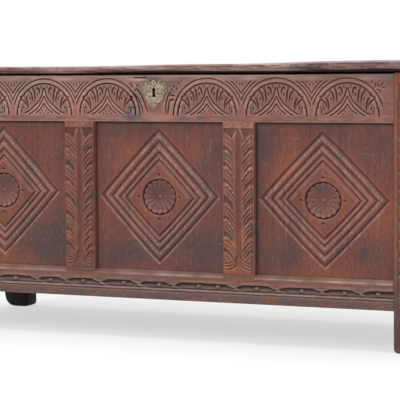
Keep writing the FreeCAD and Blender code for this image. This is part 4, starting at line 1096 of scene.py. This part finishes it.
staple_middle = sum(span("lid_staple", "x")) / 2
recess = block((PLATE[0] + PLATE_MARGIN, RECESS_FRONT, PLATE[2] + PLATE_MARGIN),
               (PLATE[1] - PLATE_MARGIN, RAIL_BACK + 1, PLATE[3] - PLATE_MARGIN))
staple_slot = block((staple_middle - SLOT_HALF, RECESS_FRONT + 0.5, PLATE[3] - 20),
                    (staple_middle + SLOT_HALF, RAIL_BACK + 2, HEAD_TOP + 2))
key_slot = block((KEY_X - KEY_SLOT, FRONT - 5, KEY_FOOT), (KEY_X + KEY_SLOT, RECESS_FRONT + 2, KEY_TOP - 2))
key_round = drill((KEY_X, FRONT + 6, KEY_TOP - 2.8), KEY_ROUND, 24)
print("lock plate", [round(x, 1) for x in PLATE], "staple at", round(staple_middle, 1))
top_rail_mesh = hollow_out(top_rail_mesh, (recess, staple_slot, key_slot, key_round))
darken_inside(top_rail_mesh)
put("carved_top_rail", top_rail_mesh, OAK_FRONT, "front_top_rail")

# %% [markdown]
# ## Bottom rail
# Under each panel its upper edge is a sloped sill. Below runs a sunk band with a chain of long scooped cells.
# Knobs part them, at uneven steps as the carver paced them out, and between some knobs two strands cross.
# One repeated link would look cast, so the places of the knobs and crossings are listed one by one.

# %% Chain
CHAIN_MIDDLE, CHAIN_HALF, CHAIN_DEPTH = 36.0, 8.6, 5.2
KNOBS = (-575, -497, -397, -297, -207, -94, 2, 107, 157, 258, 372, 478, 560)
KNOB_LENGTH, KNOB_RISE, KNOB_LIFT = 9.5, 6.8, 1.2
LONG_KNOBS = {-397: 12.0}
# Where two strands cross, and how pale the upper one is rubbed.
CROSSINGS = {-536: 0.4, -447: 0.5, -333: 0.5, -252: 0.5, -157: 0.9, -52: 0.7, 42: 0.35, 203: 0.5, 312: 0.5,
             424: 0.4, 520: 0.5}
STRAND_SLANT, STRAND_HALF, STRAND_REACH = 0.36, 3.0, 26.0
CELL_END = 0.72
BEAD_PLACE, BEAD_HALF, BEAD_HEIGHT = 25.0, 1.3, 0.6
QUIRK_HALF, QUIRK_DEPTH = 2.4, 2.0


def chain_relief(rail, up):
    """The sunk band with its scooped cells and knobs, and the bead under it."""
    offset = up - CHAIN_MIDDLE - waver(rail.spread, 8, 150) + 0.8 * waver(rail.spread, 81, 45)
    band = rise(np.abs(offset), CHAIN_HALF + 0.4, CHAIN_HALF - 1.4)
    kept, strands, shadows = (np.zeros_like(up) for _ in range(3))
    for x in KNOBS:
        knob = np.hypot((rail.u - x) / LONG_KNOBS.get(x, KNOB_LENGTH), (offset - KNOB_LIFT) / KNOB_RISE)
        kept = np.maximum(kept, 1.05 * hump(knob))
    for x, rubbed in CROSSINGS.items():
        along = np.abs(rail.u - x)
        near = band * rise(STRAND_REACH - along, 0, 7)
        beyond = np.abs(offset) - STRAND_SLANT * STRAND_REACH * (along / STRAND_REACH) ** CELL_END
        strand = near * hump((offset + STRAND_SLANT * (rail.u - x)) / STRAND_HALF)
        kept = np.maximum(kept, np.maximum(0.9 * rise(beyond, -2, 1.5) * near, 0.8 * strand))
        strands = np.maximum(strands, rubbed * strand)
        shadows = np.maximum(shadows, near * hump((beyond + 3.5) / 3))
    scoop = 0.35 + 0.65 * rise(offset, -CHAIN_HALF, CHAIN_HALF - 4.5)
    sunk = CHAIN_DEPTH * band * scoop * (1 + 0.25 * waver(rail.spread, 82, 60))
    bead = hump((up - BEAD_PLACE) / (BEAD_HALF * 1.6))
    quirk = hump((up - BEAD_PLACE + 3.4) / QUIRK_HALF) + 1.1 * hump((up - BEAD_PLACE - 4.2) / QUIRK_HALF)
    rail.height += BEAD_HEIGHT * bead - QUIRK_DEPTH * quirk - sunk * (1 - kept)
    return bead, kept * band, strands, shadows


print(len(KNOBS), "knobs and", len(CROSSINGS), "crossings")

# %% Chain rail
SILL_RISE, SILL_RUN = 9.0, 11.0
CHAIN_STEP = 1.1


def sills(rail, up):
    """The sloped upper edge under each panel, with its arris rubbed pale and its slope painted lighter as lit
    from above.
    """
    edges = [-SHOULDER, *span("front_left_muntin", "x"), *span("front_right_muntin", "x"), SHOULDER]
    arris_place = SILL_TOP - SILL_FOOT - SILL_RISE
    slope = np.clip(up - arris_place, 0, None) * SILL_RUN / SILL_RISE
    uneven = 0.6 + 0.8 * waver(rail.spread, 9, 70)
    for low, high in zip(edges[::2], edges[1::2]):
        bay = (rail.u > low) & (rail.u < high)
        rail.height -= slope * bay
        # The arris is rubbed pale; the slope, which looks up, gets a painted highlight.
        rail.wear += bay * np.clip(uneven, 0, 1) * (0.7 * hump((up - arris_place) / 4) + 0.35 * (slope > 0))


def chain_rail():
    """The carved bottom rail, and how dark and how pale it is, with its painted shade and highlights."""
    rail = WornCarving((-SHOULDER, SHOULDER), (SILL_FOOT, SILL_TOP), CHAIN_STEP)
    up = rail.v - SILL_FOOT
    bead, knobs, strands, shadows = chain_relief(rail, up)
    hollow, wear = rail.shades(dirt_and_shade=2.3, rub=3.0, slope_light_and_shade=0.4)
    sills(rail, up)
    spread = rail.spread
    uneven = np.clip(0.5 + 1.6 * waver(spread * (1, 3), 91, 60), 0, 1)
    # The bead is paler, the upper half of each knob gets a painted highlight, and the crossing strands are
    # rubbed pale.
    rail.wear += 0.75 * bead * uneven + 0.25 * knobs * rise(up, CHAIN_MIDDLE - 3, CHAIN_MIDDLE + 4) + strands
    # Painted shadow under each knob and along the ends of the cells.
    hollow += 0.5 * knobs * hump((up - CHAIN_MIDDLE + 6) / 5) + 0.12 * shadows
    # Painted shadow under the sunk band's upper edge, broken at the knobs.
    patchy = np.clip(0.75 + 0.7 * waver(spread, 92, 40), 0.2, 1)
    hollow += 0.38 * patchy * (1 - knobs) ** 2 * hump((up - CHAIN_MIDDLE - CHAIN_HALF + 4.2) / 5)
    # The whole band is made a little darker.
    hollow += 0.14 * hump((up - CHAIN_MIDDLE) / 11)
    rail.hand_made(seed=12, amount=0.3)
    rail.round_edges(left=0.8, right=0.8, foot=2.2, head=0.6, rubbed=0.2)
    patches = waver(spread * (1, 1.6), 94, 70) + 0.6 * waver(spread, 95, 24)
    rail.stain += 0.5 * hump((up - CHAIN_MIDDLE) / 14) + 0.5 * rise(up, 8, 0)
    rail.stain += np.clip(0.6 + 1.1 * patches, 0, 1.2) * rise(up, 26, 18)
    rail.glow += 1.0 * rise(up, 45, 50) * rise(up, 64, 58) + np.clip(-patches, 0, 0.5) * rise(up, 22, 18)
    return rail, hollow, np.maximum(wear * 0.6, rail.wear)


put_carved("front_bottom_rail", OAK_SILL, *chain_rail())

# %% [markdown]
# ## Muntins and stiles
# A leafy stem climbs each muntin: pairs of leaves lean up and out, with gouged veins and curled tips,
# and three flared lines make its foot. The stiles have the same stem in a sunk field beside a plain strip.
# One leaf is drawn as paths from its tip, and each is laid with a little chance, as no two were cut alike.

# %% Paths of a leaf
FIELD_DEPTH, FIELD_HALF = 0.4, 39.5
STEM_HALF, STEM_DEPTH, STEM_QUIRK, STEM_BLOCK = 4.8, 1.4, 2.0, 14.0
LEAF_LEVELS = (220, 257, 297, 337, 382, 422, 462, 499)
# A flute is its path, its width and its depth.
LEAF_FLUTES = (
    ([(9, -35), (15, -26), (23, -16), (34, -8)], 6.6, 3.8),
    ([(9, -46), (16, -36), (24, -27), (35, -18)], 5.6, 3.2),
)
LEAF_CREST, CREST_WIDTH = [(13, -24), (22, -11), (30, -3), (38, -2)], 4.4
LEAF_RIDGE, RIDGE_WIDTH = [(11, -41), (18, -31), (26, -22), (36, -13)], 2.6
LEAF_TOP = ((5, 15, 23, 31, 38), (-40, -18, -7, 0, 0))
LEAF_UNDER = ((11, 18, 26, 36), (-52, -43, -34, -27))
LEAF_DOT, LEAF_DOT_RADIUS, LEAF_DOT_DEPTH = (28.5, 4.0), 2.4, 5.0
GAP_DEPTH, GAP_DARKENING = 3.0, 0.3
BLADE, BLADE_WIDTH, BLADE_HIGHLIGHT = [(4.5, -3), (8, -11), (14, -24)], 4.6, 0.8
FLARES = (
    [(3.5, 45), (7, 37), (13, 31), (23, 26.5), (39, 23.5)],
    [(2, 36), (8, 28), (15, 23), (24, 19.5), (39, 17)],
    [(1, 30), (8, 21), (16, 14.5), (25, 11.5), (39, 9.5)],
)
FLARE_CUT = (5.4, 3.2, 0.2)
LEAF_CHANCES = (("glow", 1.7), ("glow", 1.1), ("stain", 1.6), ("stain", 1.0))
LEAF_SPOT = 8
print(len(LEAF_LEVELS), "pairs of leaves on a muntin")


# %% Leafy stem
def leafy_stem(board, middle, half, foot, head, levels, seed):
    """A stem with pairs of leaves at some heights, over a field of a half width, from a foot to a head."""
    dice = np.random.RandomState(seed)
    u, v = board.u - middle, board.v
    wide = half / FIELD_HALF
    field = rise(half - np.abs(u), -0.5, 1.5) * rise(v, foot, foot + 2) * rise(v, head, head - 2)
    stem = field * rise(v, foot + 18, foot + 30)
    quirks = hump((np.abs(u) - STEM_HALF) / 1.8)
    board.height -= FIELD_DEPTH * field + stem * (STEM_DEPTH * hump(u / STEM_HALF) + STEM_QUIRK * quirks)
    board.depth += 0.25 * stem * hump(u / (STEM_HALF * 1.3))
    board.settle()
    out = np.abs(u) / wide
    for side in (-1, 1):
        heights = [level + dice.uniform(-2.5, 2.5) for level in levels]
        for number, z in enumerate(heights):
            sway = dice.uniform(0.9, 1.1)

            def laid(path):
                return [(middle + side * a * wide, z + b * sway + dice.uniform(-1, 1)) for a, b in path]

            gap = field * (side * u > 0) * rise(v - z - np.interp(out, *LEAF_TOP) * sway, 0.5, 2.5)
            if number + 1 < len(heights):
                under = heights[number + 1] + np.interp(out, *LEAF_UNDER)
                gap *= rise(under - v, 0, 2) * rise(out, 14, 19)
                dot = laid_at([LEAF_DOT], middle, z, side, wide)[0]
                board.punch(*dot, LEAF_DOT_RADIUS, LEAF_DOT_DEPTH)
            else:
                gap *= rise(out - np.interp(v, (head - 30, head - 2), (18, 6)), 0, 2.5)
                # A painted highlight up the blade under the head, with its wear.
                board.highlight_line(laid_at(BLADE, middle, head, side, wide), BLADE_WIDTH, BLADE_HIGHLIGHT)
            board.cut(GAP_DEPTH * gap)
            # The sunk gap between leaves is made darker.
            board.depth += GAP_DARKENING * gap
            for path, width, depth in LEAF_FLUTES[:1 if number == 0 else 2]:
                board.gouge(laid(path), width * dice.uniform(0.85, 1.15), depth * dice.uniform(0.6, 1.2), 0.4)
            # Painted highlights along the leaf's crest and the ridge between its flutes, with their wear.
            board.highlight_line(laid(LEAF_CREST), CREST_WIDTH, dice.uniform(0.4, 1.0))
            board.highlight_line(laid(LEAF_RIDGE), RIDGE_WIDTH, dice.uniform(0.1, 0.6) * (number > 0))
            for layer, most in LEAF_CHANCES:
                a, b = dice.uniform((10, -38), (34, 2))
                across = middle + side * a * wide
                board.spot(layer, across, z + b, LEAF_SPOT, LEAF_SPOT, dice.uniform(0, most))
        for path in FLARES:
            board.gouge(laid_at(path, middle, foot - STEM_BLOCK, side, wide), *FLARE_CUT)


def finish_board(board, seed, edges, rubbed):
    """How dark and how pale a board with a stem is, once its edges are rounded."""
    hollow, wear = board.shades(dirt_and_shade=3.8, rub=6.0, slope_light_and_shade=0.5)
    patchy = 0.55 + 1.1 * waver(board.spread, seed + 7, 15) + 0.5 * waver(board.spread, seed + 8, 45)
    board.wear *= np.clip(patchy, 0.1, 1)
    board.hand_made(seed=seed, amount=0.25)
    board.round_edges(rubbed=rubbed, **edges)
    return np.maximum(0.75 * hollow, board.depth), np.maximum(wear * 0.85, board.wear)


print("a stem is", 2 * STEM_HALF, "mm wide")

# %% Muntins and stiles
EDGE_LINE, EDGE_LINE_DEPTH = 4.6, 2.2
FINE_STEP = 0.9
MUNTIN_EDGES = {"left": 1.6, "right": 2.0, "foot": 0.6, "head": 0.6}
STRIP_WIDTH, FRAME_LINE_DEPTH = 11.0, 3.2
STILE_LEAF_STEP, STILE_LEAVES = 39.5, range(-1, 10)
INNER_EDGE, OUTER_EDGE = 2.4, 4.0
FOOT_ROUND = 11.0


def leafy_muntin(name, seed, stained):
    """Carves one muntin, from the bottom rail to the top rail."""
    node = f"front_{name}_muntin"
    low, high = span(node, "x")
    board = WornCarving((low, high), (SILL_TOP, HEAD_FOOT), FINE_STEP)
    leafy_stem(board, (low + high) / 2, (high - low) / 2 - 1.5, SILL_TOP + STEM_BLOCK, HEAD_FOOT - STEM_BLOCK,
               LEAF_LEVELS, seed)
    on_block = rise(board.v, HEAD_FOOT - STEM_BLOCK - 2, HEAD_FOOT - STEM_BLOCK + 1)
    board.cut(EDGE_LINE_DEPTH * hump((board.u - high + EDGE_LINE) / 1.8) * (1 - on_block))
    board.glow += 0.6 * on_block
    board.wear += 0.45 * on_block
    board.depth += stained
    put_carved(node, OAK_STEM, board, *finish_board(board, seed, MUNTIN_EDGES, rubbed=0.4))


def leafy_stile(name, side, seed):
    """Carves one front stile, from its foot to the lid; side is -1 at the left and 1 at the right."""
    node = f"front_{name}_stile"
    low, high = span(node, "x")
    board = WornCarving((low, high), span(node, "z"), BROAD_STEP)
    middle, half = (low + high) / 2, (high - low) / 2 - STRIP_WIDTH
    field_foot, field_head = SILL_FOOT + 30, HEAD_TOP - 20
    levels = [LEAF_LEVELS[0] + STILE_LEAF_STEP * step for step in STILE_LEAVES]
    leafy_stem(board, middle, half, field_foot, field_head, levels, seed)
    frame_line = np.abs(np.abs(board.u - middle) - half - 0.5)
    in_field = (board.v > field_foot) * (board.v < field_head)
    board.cut(FRAME_LINE_DEPTH * hump(frame_line / 2.6) * in_field)
    left, right = (INNER_EDGE, OUTER_EDGE)[::side]
    board.depth += 0.17 + 0.1 * rise(board.v, 160, 60)
    board.glow += 0.6 * rise(board.v, 150, 220)
    edges = {"left": left, "right": right, "foot": 6.0, "head": 1.0}
    hollow, wear = finish_board(board, seed, edges, rubbed=0.25)
    board.stain += 0.4 + 1.0 * rise(board.v, 160, 40)
    put_carved(node, OAK_STEM, board, hollow, wear, foot_round=FOOT_ROUND)


for stem_seed, (stem_side, stem_name) in enumerate(((-1, "left"), (1, "right"))):
    leafy_muntin(stem_name, 70 + stem_seed, stained=0.3 * (1 - stem_seed))
    leafy_stile(stem_name, stem_side, 80 + stem_seed)

# %% [markdown]
# ## Plain boards
# The ends, the back, the floor and the lid are flat boards, sawn and planed by hand.
# Each is a cube cut into cells along its length, with its arrises bevelled, then made slightly uneven.
# A bevel modifier would round them as well, but not pale them where hands and brooms have rubbed.
# A board stays inside the solid that it stands for.


# %% A plain board
PLAIN_UNEVEN, UNEVEN_WAVE = 0.25, 190


def node_box(node):
    """The two corners of a solid's box, in millimetres."""
    low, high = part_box(node)
    return np.array(low) / MM, np.array(high) / MM


def ease(shape, edges, offset, segments=2, **more):
    """Rounds some edges of a shape by an offset."""
    bmesh.ops.bevel(shape, geom=edges, offset=offset, offset_type="OFFSET", segments=segments, profile=0.5,
                    affect="EDGES", material=-1, **more)
    bmesh.ops.recalc_face_normals(shape, faces=shape.faces)


def celled_block(low, high, cell):
    """A block between two corners, cut into cells of a length along each axis."""
    shape = bmesh.new()
    bmesh.ops.create_cube(shape, size=1.0)
    for axis in range(3):
        cuts = int((high[axis] - low[axis]) / cell[axis])
        along = [e for e in shape.edges if abs((e.verts[0].co - e.verts[1].co)[axis]) > 1e-6]
        if cuts:
            bmesh.ops.subdivide_edges(shape, edges=along, cuts=cuts, use_grid_fill=True)
    for vert in shape.verts:
        vert.co = Vector((vert.co[a] + 0.5) * (high[a] - low[a]) + low[a] for a in range(3))
    return shape


def board_mesh(name, low, high, cell, arris, uneven, seed, segments=2, foot_round=0.0, chosen=None):
    """A worn board between two corners in millimetres; chosen tells by its middle if an edge is bevelled."""
    low, high = np.array(low, float) + uneven, np.array(high, float) - uneven
    shape = celled_block(low, high, cell)
    sharp = [e for e in shape.edges if e.calc_face_angle(0) > 1]
    if chosen:
        sharp = [e for e in sharp if chosen((e.verts[0].co + e.verts[1].co) / 2)]
    ease(shape, sharp, arris, segments)
    shape.normal_update()
    rubbed = [1 - max(abs(part) for part in vert.normal) for vert in shape.verts]
    for side in shape.faces:
        side.smooth = True
    mesh = mesh_of(shape, name)
    place = points_of(mesh)
    if foot_round:
        middle, half = (low + high) / 2, (high - low) / 2
        drawn_in = corner_cut(place[:, 2] - low[2], foot_round)
        for axis in (0, 1):
            place[:, axis] = middle[axis] + (place[:, axis] - middle[axis]) * (1 - drawn_in / half[axis])
    for axis in range(3):
        place[:, axis] += uneven * waver(place, seed + axis, UNEVEN_WAVE)
    mark(mesh, "wear", np.clip(np.array(rubbed) * 2.2, 0, 0.8))
    move_points(mesh, place)
    return mesh


def plain_board(node, finish, cell, arris=1.6, foot_round=0.0, **limits):
    """A plain board for one solid, cut back at its joints' shoulders by limits such as x=(low, high)."""
    low, high = node_box(node)
    for axis, ends in limits.items():
        place = "xyz".index(axis)
        low[place], high[place] = ends
    mesh = board_mesh(node, low, high, cell, arris, PLAIN_UNEVEN, len(boards_made) * 3, foot_round=foot_round)
    return put(f"worn_{node}", mesh, finish, node)


print(len(boards_made), "carved boards before the plain ones")

# %% [markdown]
# ## Rear feet
# The rear stiles run down as feet. The outer side has worn and rotted away towards the floor,
# and the faces that lie under the chest are painted black as shade.
# These boards have small cells, so it is enough to move their points.

# %% Worn feet
FOOT_TAPER, TAPER_HEIGHT = 0.17, 98.0
OUTER_ROUND, INNER_ROUND = 26.0, 11.0


def worn_foot(mesh, side):
    """Tapers a rear foot on its outer side, as years of standing have worn it; it is darker towards the floor,
    and its faces under the chest get painted shade.
    """
    place = points_of(mesh) / MM
    outer, inner = (side * place[:, 0]).max(), SHOULDER
    across = np.clip((side * place[:, 0] - inner) / (outer - inner), 0, 1)
    outer_cut, inner_cut = (corner_cut(place[:, 2], radius) for radius in (OUTER_ROUND, INNER_ROUND))
    outer_cut += FOOT_TAPER * np.clip(TAPER_HEIGHT - place[:, 2], 0, None)
    place[:, 0] += side * ((1 - across) * inner_cut - across * outer_cut)
    move_points(mesh, place)
    # Painted shade on the front and inner faces that lie under the chest.
    to_front = rise(place[:, 1], place[:, 1].min() + 16, place[:, 1].min() + 3)
    to_inside = rise(across, 0.22, 0.04)
    mark(mesh, "stain", 0.5 * rise(place[:, 2], 120, 20))
    mark(mesh, "hollow", rise(place[:, 2], 130, 92) * np.maximum(to_front, to_inside))


print("a foot tapers over", TAPER_HEIGHT, "mm")

# %% Ends, back and floor
LONG_CELL, TALL_CELL, DEEP_CELL, FOOT_CELL = (40, 60, 60), (60, 60, 30), (60, 40, 60), (24, 24, 6)
rear_shoulder = (-SHOULDER, SHOULDER)
stile_gap = (STILE_BACK, span("rear_right_stile", "y")[0])
between_rails = (SILL_TOP, HEAD_FOOT)
for rail_node in ("rear_bottom_rail", "rear_top_rail"):
    plain_board(rail_node, OAK_PLAIN["x"], LONG_CELL, x=rear_shoulder)
for side_name, side_sign in (("left", -1), ("right", 1)):
    plain_board(f"rear_{side_name}_muntin", OAK_PLAIN["z"], TALL_CELL, z=between_rails)
    stile = plain_board(f"rear_{side_name}_stile", OAK_PLAIN["z"], FOOT_CELL, arris=3.0, foot_round=7.0)
    worn_foot(stile.data, side_sign)
    plain_board(f"{side_name}_end_muntin", OAK_PLAIN["z"], TALL_CELL, z=between_rails)
    for rail_name in ("bottom_rail", "top_rail"):
        plain_board(f"{side_name}_end_{rail_name}", OAK_PLAIN["y"], DEEP_CELL, y=stile_gap)
    for panel_name in ("front_panel", "rear_panel"):
        plain_board(f"{side_name}_end_{panel_name}", OAK_PLAIN["z"], TALL_CELL)
for panel_name in ("left", "middle", "right"):
    plain_board(f"rear_{panel_name}_panel", OAK_PLAIN["z"], TALL_CELL)
for board_number in range(1, 6):
    plain_board(f"floor_board_{board_number}", OAK_INSIDE, DEEP_CELL)
print(len(boards_made), "boards so far")

# %% [markdown]
# ## Lid
# Two planks, whose front edge has been rubbed round by hands and knocked by years of use, on two cleats.
# The planks have warped, so the top and the lower edge follow heights that are listed along the chest.
# A lattice could bend them, but the same heights are needed again for the pegs and the nails.

# %% Warp of the lid
LID_TOPS = ((-720, 664.6), (-420, 664.4), (-180, 664.6), (-100, 665.3), (0, 667.0), (80, 668.2), (220, 668.0),
            (300, 669.5), (400, 672.0), (500, 673.8), (571, 674.1), (720, 674.1))
LID_LIFTS = ((-720, 0), (-640, 1.2), (-200, 1.4), (-150, 2.9), (-70, 4.7), (0, 6.0), (60, 5.8), (100, 5.4),
             (200, 4.4), (260, 4.6), (370, 4.6), (470, 6.0), (560, 8.0), (600, 8.0), (670, 0), (720, 0))
LID_PALES = ((-520, -0.4), (-360, -0.4), (-300, 0.1), (-250, 0.35), (-190, 0.3), (0, 0.25), (165, 0.32),
             (280, 0.65), (330, 0.9), (375, 0.6), (420, 0.3), (520, 0.05), (620, 0.0))


def listed(table, x):
    """Reads a table of places and values at x, in straight runs from each place to the next."""
    return np.interp(x, *zip(*table))


print("the lid's top is", float(listed(LID_TOPS, 0)), "mm up in the middle")

# %% Lid planks and cleats
LID_CELL, LID_ARRIS, LID_UNEVEN, LID_SEGMENTS = (9, 20, 9), 8.0, 0.3, 5
EDGE_REACH, LIFT_REACH = 30, 34.0


def lid_plank(node, seed, front_edge):
    """A warped plank; front_edge is 1 where its front edge shows and is worn, and else 0."""
    low, high = node_box(node)
    ends = high[0] - 1

    def shown(middle):
        return abs(middle.x) > ends - 2 or (front_edge and middle.y < low[1] + 2)

    mesh = board_mesh(node, low, high, LID_CELL, LID_ARRIS, LID_UNEVEN, seed, LID_SEGMENTS, chosen=shown)
    place = points_of(mesh) / MM
    near_edge = front_edge * rise(place[:, 1], low[1] + EDGE_REACH, low[1])
    dents = np.clip(waver(place, seed + 50, 70) * 2.2 - 0.6, 0, 1)
    dents += 0.5 * np.clip(waver(place, seed + 51, 24), 0, 1)
    place[:, 1] += near_edge * dents * 1.8
    up = np.clip((place[:, 2] - low[2]) / (high[2] - low[2]), 0, 1)
    place[:, 2] -= near_edge * dents * 1.4 * rise(up, 0, 1)
    lift = listed(LID_LIFTS, place[:, 0]) * front_edge
    from_edge = place[:, 1] - low[1]
    under_edge = rise(from_edge, 1, 8) * rise(from_edge, 70, 50) * rise(up, 0.10, 0.02)
    # Painted shade on the underside beneath the lifted front edge.
    mark(mesh, "hollow", rise(lift, 1.5, 3.5) * under_edge)
    foot = low[2] + lift * rise(place[:, 1], low[1] + LIFT_REACH, low[1] + 4)
    top = listed(LID_TOPS, place[:, 0])
    place[:, 2] = foot + (place[:, 2] - low[2]) / (high[2] - low[2]) * (top - foot)
    move_points(mesh, place)
    streaks = waver(place * (0.25, 1, 3), seed + 60, 60) + 0.6 * waver(place * (0.3, 1, 4), seed + 61, 20)
    pale = listed(LID_PALES, place[:, 0])
    # The front edge is rubbed pale in streaks, and its upper part also gets a painted highlight.
    rubbed = near_edge * (rise(up, 0.55, 0.95) * 0.7 + pale + 0.8 * streaks)
    mark(mesh, "wear", np.clip(rubbed, 0, 0.9))
    # The lower half of the front edge is painted darker as shade.
    mark(mesh, "stain", np.clip(near_edge * (rise(up, 0.6, 0.1) * 0.6 - 1.2 * streaks - 0.7 * pale), 0, 1))
    red = 0.9 * rise(-place[:, 0], 60, 220) + 0.55 * rise(place[:, 0], 250, 400) * rise(up, 0.9, 0.5)
    mark(mesh, "glow", near_edge * red)
    put(f"worn_{node}", mesh, OAK_LID["x"], node)


lid_plank("lid_front_plank", 101, front_edge=1)
lid_plank("lid_rear_plank", 111, front_edge=0)
for side_name in ("left", "right"):
    plain_board(f"lid_{side_name}_cleat", OAK_LID["y"], DEEP_CELL, arris=2.0)

# %% [markdown]
# ## Pegs
# Oak pegs are riven and shaved by eye, so each is an eight-sided bar that isn't quite regular.
# Their places could be written down again, but then they would go astray when the frame is mended.
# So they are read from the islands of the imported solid.


# %% Islands of a solid
def solid_shape(node):
    """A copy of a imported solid, with the corners of its faces joined."""
    shape = bmesh.new()
    shape.from_mesh(frame["nodes"][node].data)
    bmesh.ops.remove_doubles(shape, verts=shape.verts, dist=1e-6)
    return shape


def islands(node):
    """The corners of each separate solid of a node, in millimetres."""
    shape = solid_shape(node)
    left, found = set(shape.verts), []
    while left:
        queue, island = [left.pop()], []
        while queue:
            vert = queue.pop()
            island.append(vert.co.copy())
            for edge in vert.link_edges:
                other = edge.other_vert(vert)
                if other in left:
                    left.remove(other)
                    queue.append(other)
        found.append(np.array(island) / MM)
    shape.free()
    return sorted(found, key=lambda corners: tuple(corners.min(0).round(3)))


def turned(axis):
    """The turn that lays an upright shape along an axis."""
    turns = (Matrix.Rotation(math.pi / 2, 4, "Y"), Matrix.Rotation(-math.pi / 2, 4, "X"), Matrix.Identity(4))
    return turns[axis]


print(len(islands("front_pegs")), "pegs in the front frame")

# %% Pegs
PEG_SIDES, PEG_ARRIS = 8, 0.5


def pegs(node, finish, seed):
    """Riven pegs in place of a node's solids; those that stand upright end at the lid's top."""
    dice = np.random.RandomState(seed)
    shape = bmesh.new()
    for corners in islands(node):
        low, high = corners.min(0), corners.max(0)
        axis = int(np.argmax(high - low))
        if axis == 2:
            high[2] = listed(LID_TOPS, low[0]) + 0.2
        length = (high - low)[axis] * MM
        width = np.delete(high - low, axis).min() / 2 * MM
        place = Matrix.Translation(Vector((low + high) / 2 * MM)) @ turned(axis)
        place = place @ Matrix.Rotation(dice.uniform(0, 1), 4, "Z")
        peg = bmesh.ops.create_cone(shape, cap_ends=True, segments=PEG_SIDES, radius1=width, radius2=width,
                                    depth=length, matrix=place)
        rims = {edge for vert in peg["verts"] for edge in vert.link_edges if edge.calc_length() < width}
        ease(shape, list(rims), PEG_ARRIS * MM)
    mesh = mesh_of(shape, node)
    in_foot = rise(points_of(mesh)[:, 2] / MM, SILL_TOP + 10, SILL_TOP)
    mark(mesh, "glow", in_foot)
    mark(mesh, "wear", 0.3 * (1 - in_foot))
    put(f"riven_{node}", mesh, finish, node)


pegs("front_pegs", OAK_SILL, 1)
pegs("rear_pegs", OAK_PLAIN["y"], 2)
for side_name in ("left", "right"):
    pegs(f"{side_name}_end_pegs", OAK_PLAIN["x"], 3)
pegs("cleat_pegs", OAK_LID["x"], 5)

# %% [markdown]
# ## Nails
# A smith's nail has a square shank that tapers to a point and a head struck into a few facets.
# Two cones make one: a four-sided shank, and a low head with a few sides.
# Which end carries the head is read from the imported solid, where the head is the wider end.

# %% Nails
SHANK_SIDES, TIP_SHARE, SHANK_SHARE, HEAD_SHARE = 4, 0.12, 0.5, 0.42
NAIL_TURN = 0.7
COVER = 4


def nails(node, finish, facets, head_height):
    """Struck nails in place of a node's solids; those that stand upright end inside the lid."""
    shape = bmesh.new()
    for number, corners in enumerate(islands(node)):
        low, high = corners.min(0), corners.max(0)
        axis = int(np.argmax(high - low))
        if axis == 2:
            high[2] = min(high[2], listed(LID_TOPS, low[0]) - COVER)
        ends = [corners[np.abs(corners[:, axis] - end[axis]) < 0.3] for end in (low, corners.max(0))]
        low_end, high_end = (np.ptp(end, axis=0).max() for end in ends)
        sense = 1 if high_end > low_end else -1
        wide = max(low_end, high_end) / 2
        length = (high - low)[axis]
        foot = (low + high) / 2
        foot[axis] = (low if sense > 0 else high)[axis]
        up = Matrix.Translation(Vector(foot * MM)) @ turned(axis) @ Matrix.Diagonal((1, 1, sense, 1))
        turn = Matrix.Rotation(NAIL_TURN * number, 4, "Z")
        for radius, top_radius, bottom, top, sides in (
                (wide * TIP_SHARE, wide * SHANK_SHARE, 0.0, length - head_height * 0.6, SHANK_SIDES),
                (wide, wide * HEAD_SHARE, length - head_height, length, facets)):
            place = up @ Matrix.Translation((0, 0, (bottom + top) / 2 * MM)) @ turn
            bmesh.ops.create_cone(shape, cap_ends=True, segments=sides, radius1=radius * MM,
                                  radius2=top_radius * MM, depth=(top - bottom) * MM, matrix=place)
    bmesh.ops.recalc_face_normals(shape, faces=shape.faces)
    put(f"struck_{node}", mesh_of(shape, node), finish, node)


for nail_node in ("strap_nails", "leaf_nails", "lock_nails", "staple_nails"):
    nails(nail_node, IRON, facets=5, head_height=2.2)
nails("escutcheon_tacks", BRASS, facets=9, head_height=1.0)

# %% [markdown]
# ## Metalwork
# The hinges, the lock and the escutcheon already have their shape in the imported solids.
# Modelling them again would only bring in differences, so a copy of each is merged and its edges are eased,
# as filing and wear would do.

# %% Eased metal
SMITH_ARRIS, BRASS_ARRIS = 0.5, 0.4
FLAT_ANGLE, SHARP_ANGLE = math.radians(1), math.radians(35)


def eased(node, name, finish, arris):
    """A copy of a solid with its sharp edges rounded a little."""
    shape = solid_shape(node)
    bmesh.ops.dissolve_limit(shape, angle_limit=FLAT_ANGLE, verts=shape.verts, edges=shape.edges)
    sharp = [e for e in shape.edges if e.is_manifold and e.calc_face_angle(0) > SHARP_ANGLE]
    ease(shape, sharp, arris * MM, clamp_overlap=True)
    mesh = mesh_of(shape, name)
    put(name, mesh, finish, node)
    return mesh


plate_mesh = eased("escutcheon", "pierced_escutcheon", BRASS, BRASS_ARRIS)
plate_place = points_of(plate_mesh) / MM
from_middle = np.hypot((plate_place[:, 0] - KEY_X - 1) / 30, (plate_place[:, 2] - KEY_TOP + 9) / 36)
mark(plate_mesh, "hollow", 0.6 * rise(from_middle, 0.66, 1.0))
for node_name, solid in frame["nodes"].items():
    if not solid.hide_render:
        eased(node_name, f"forged_{node_name}", IRON, SMITH_ARRIS)

# %% [markdown]
# ## Last update
# The view layer is brought up to date once every piece is in place. The dressed chest has to stay
# inside the box of the imported one.

# %% Update
bpy.context.view_layer.update()
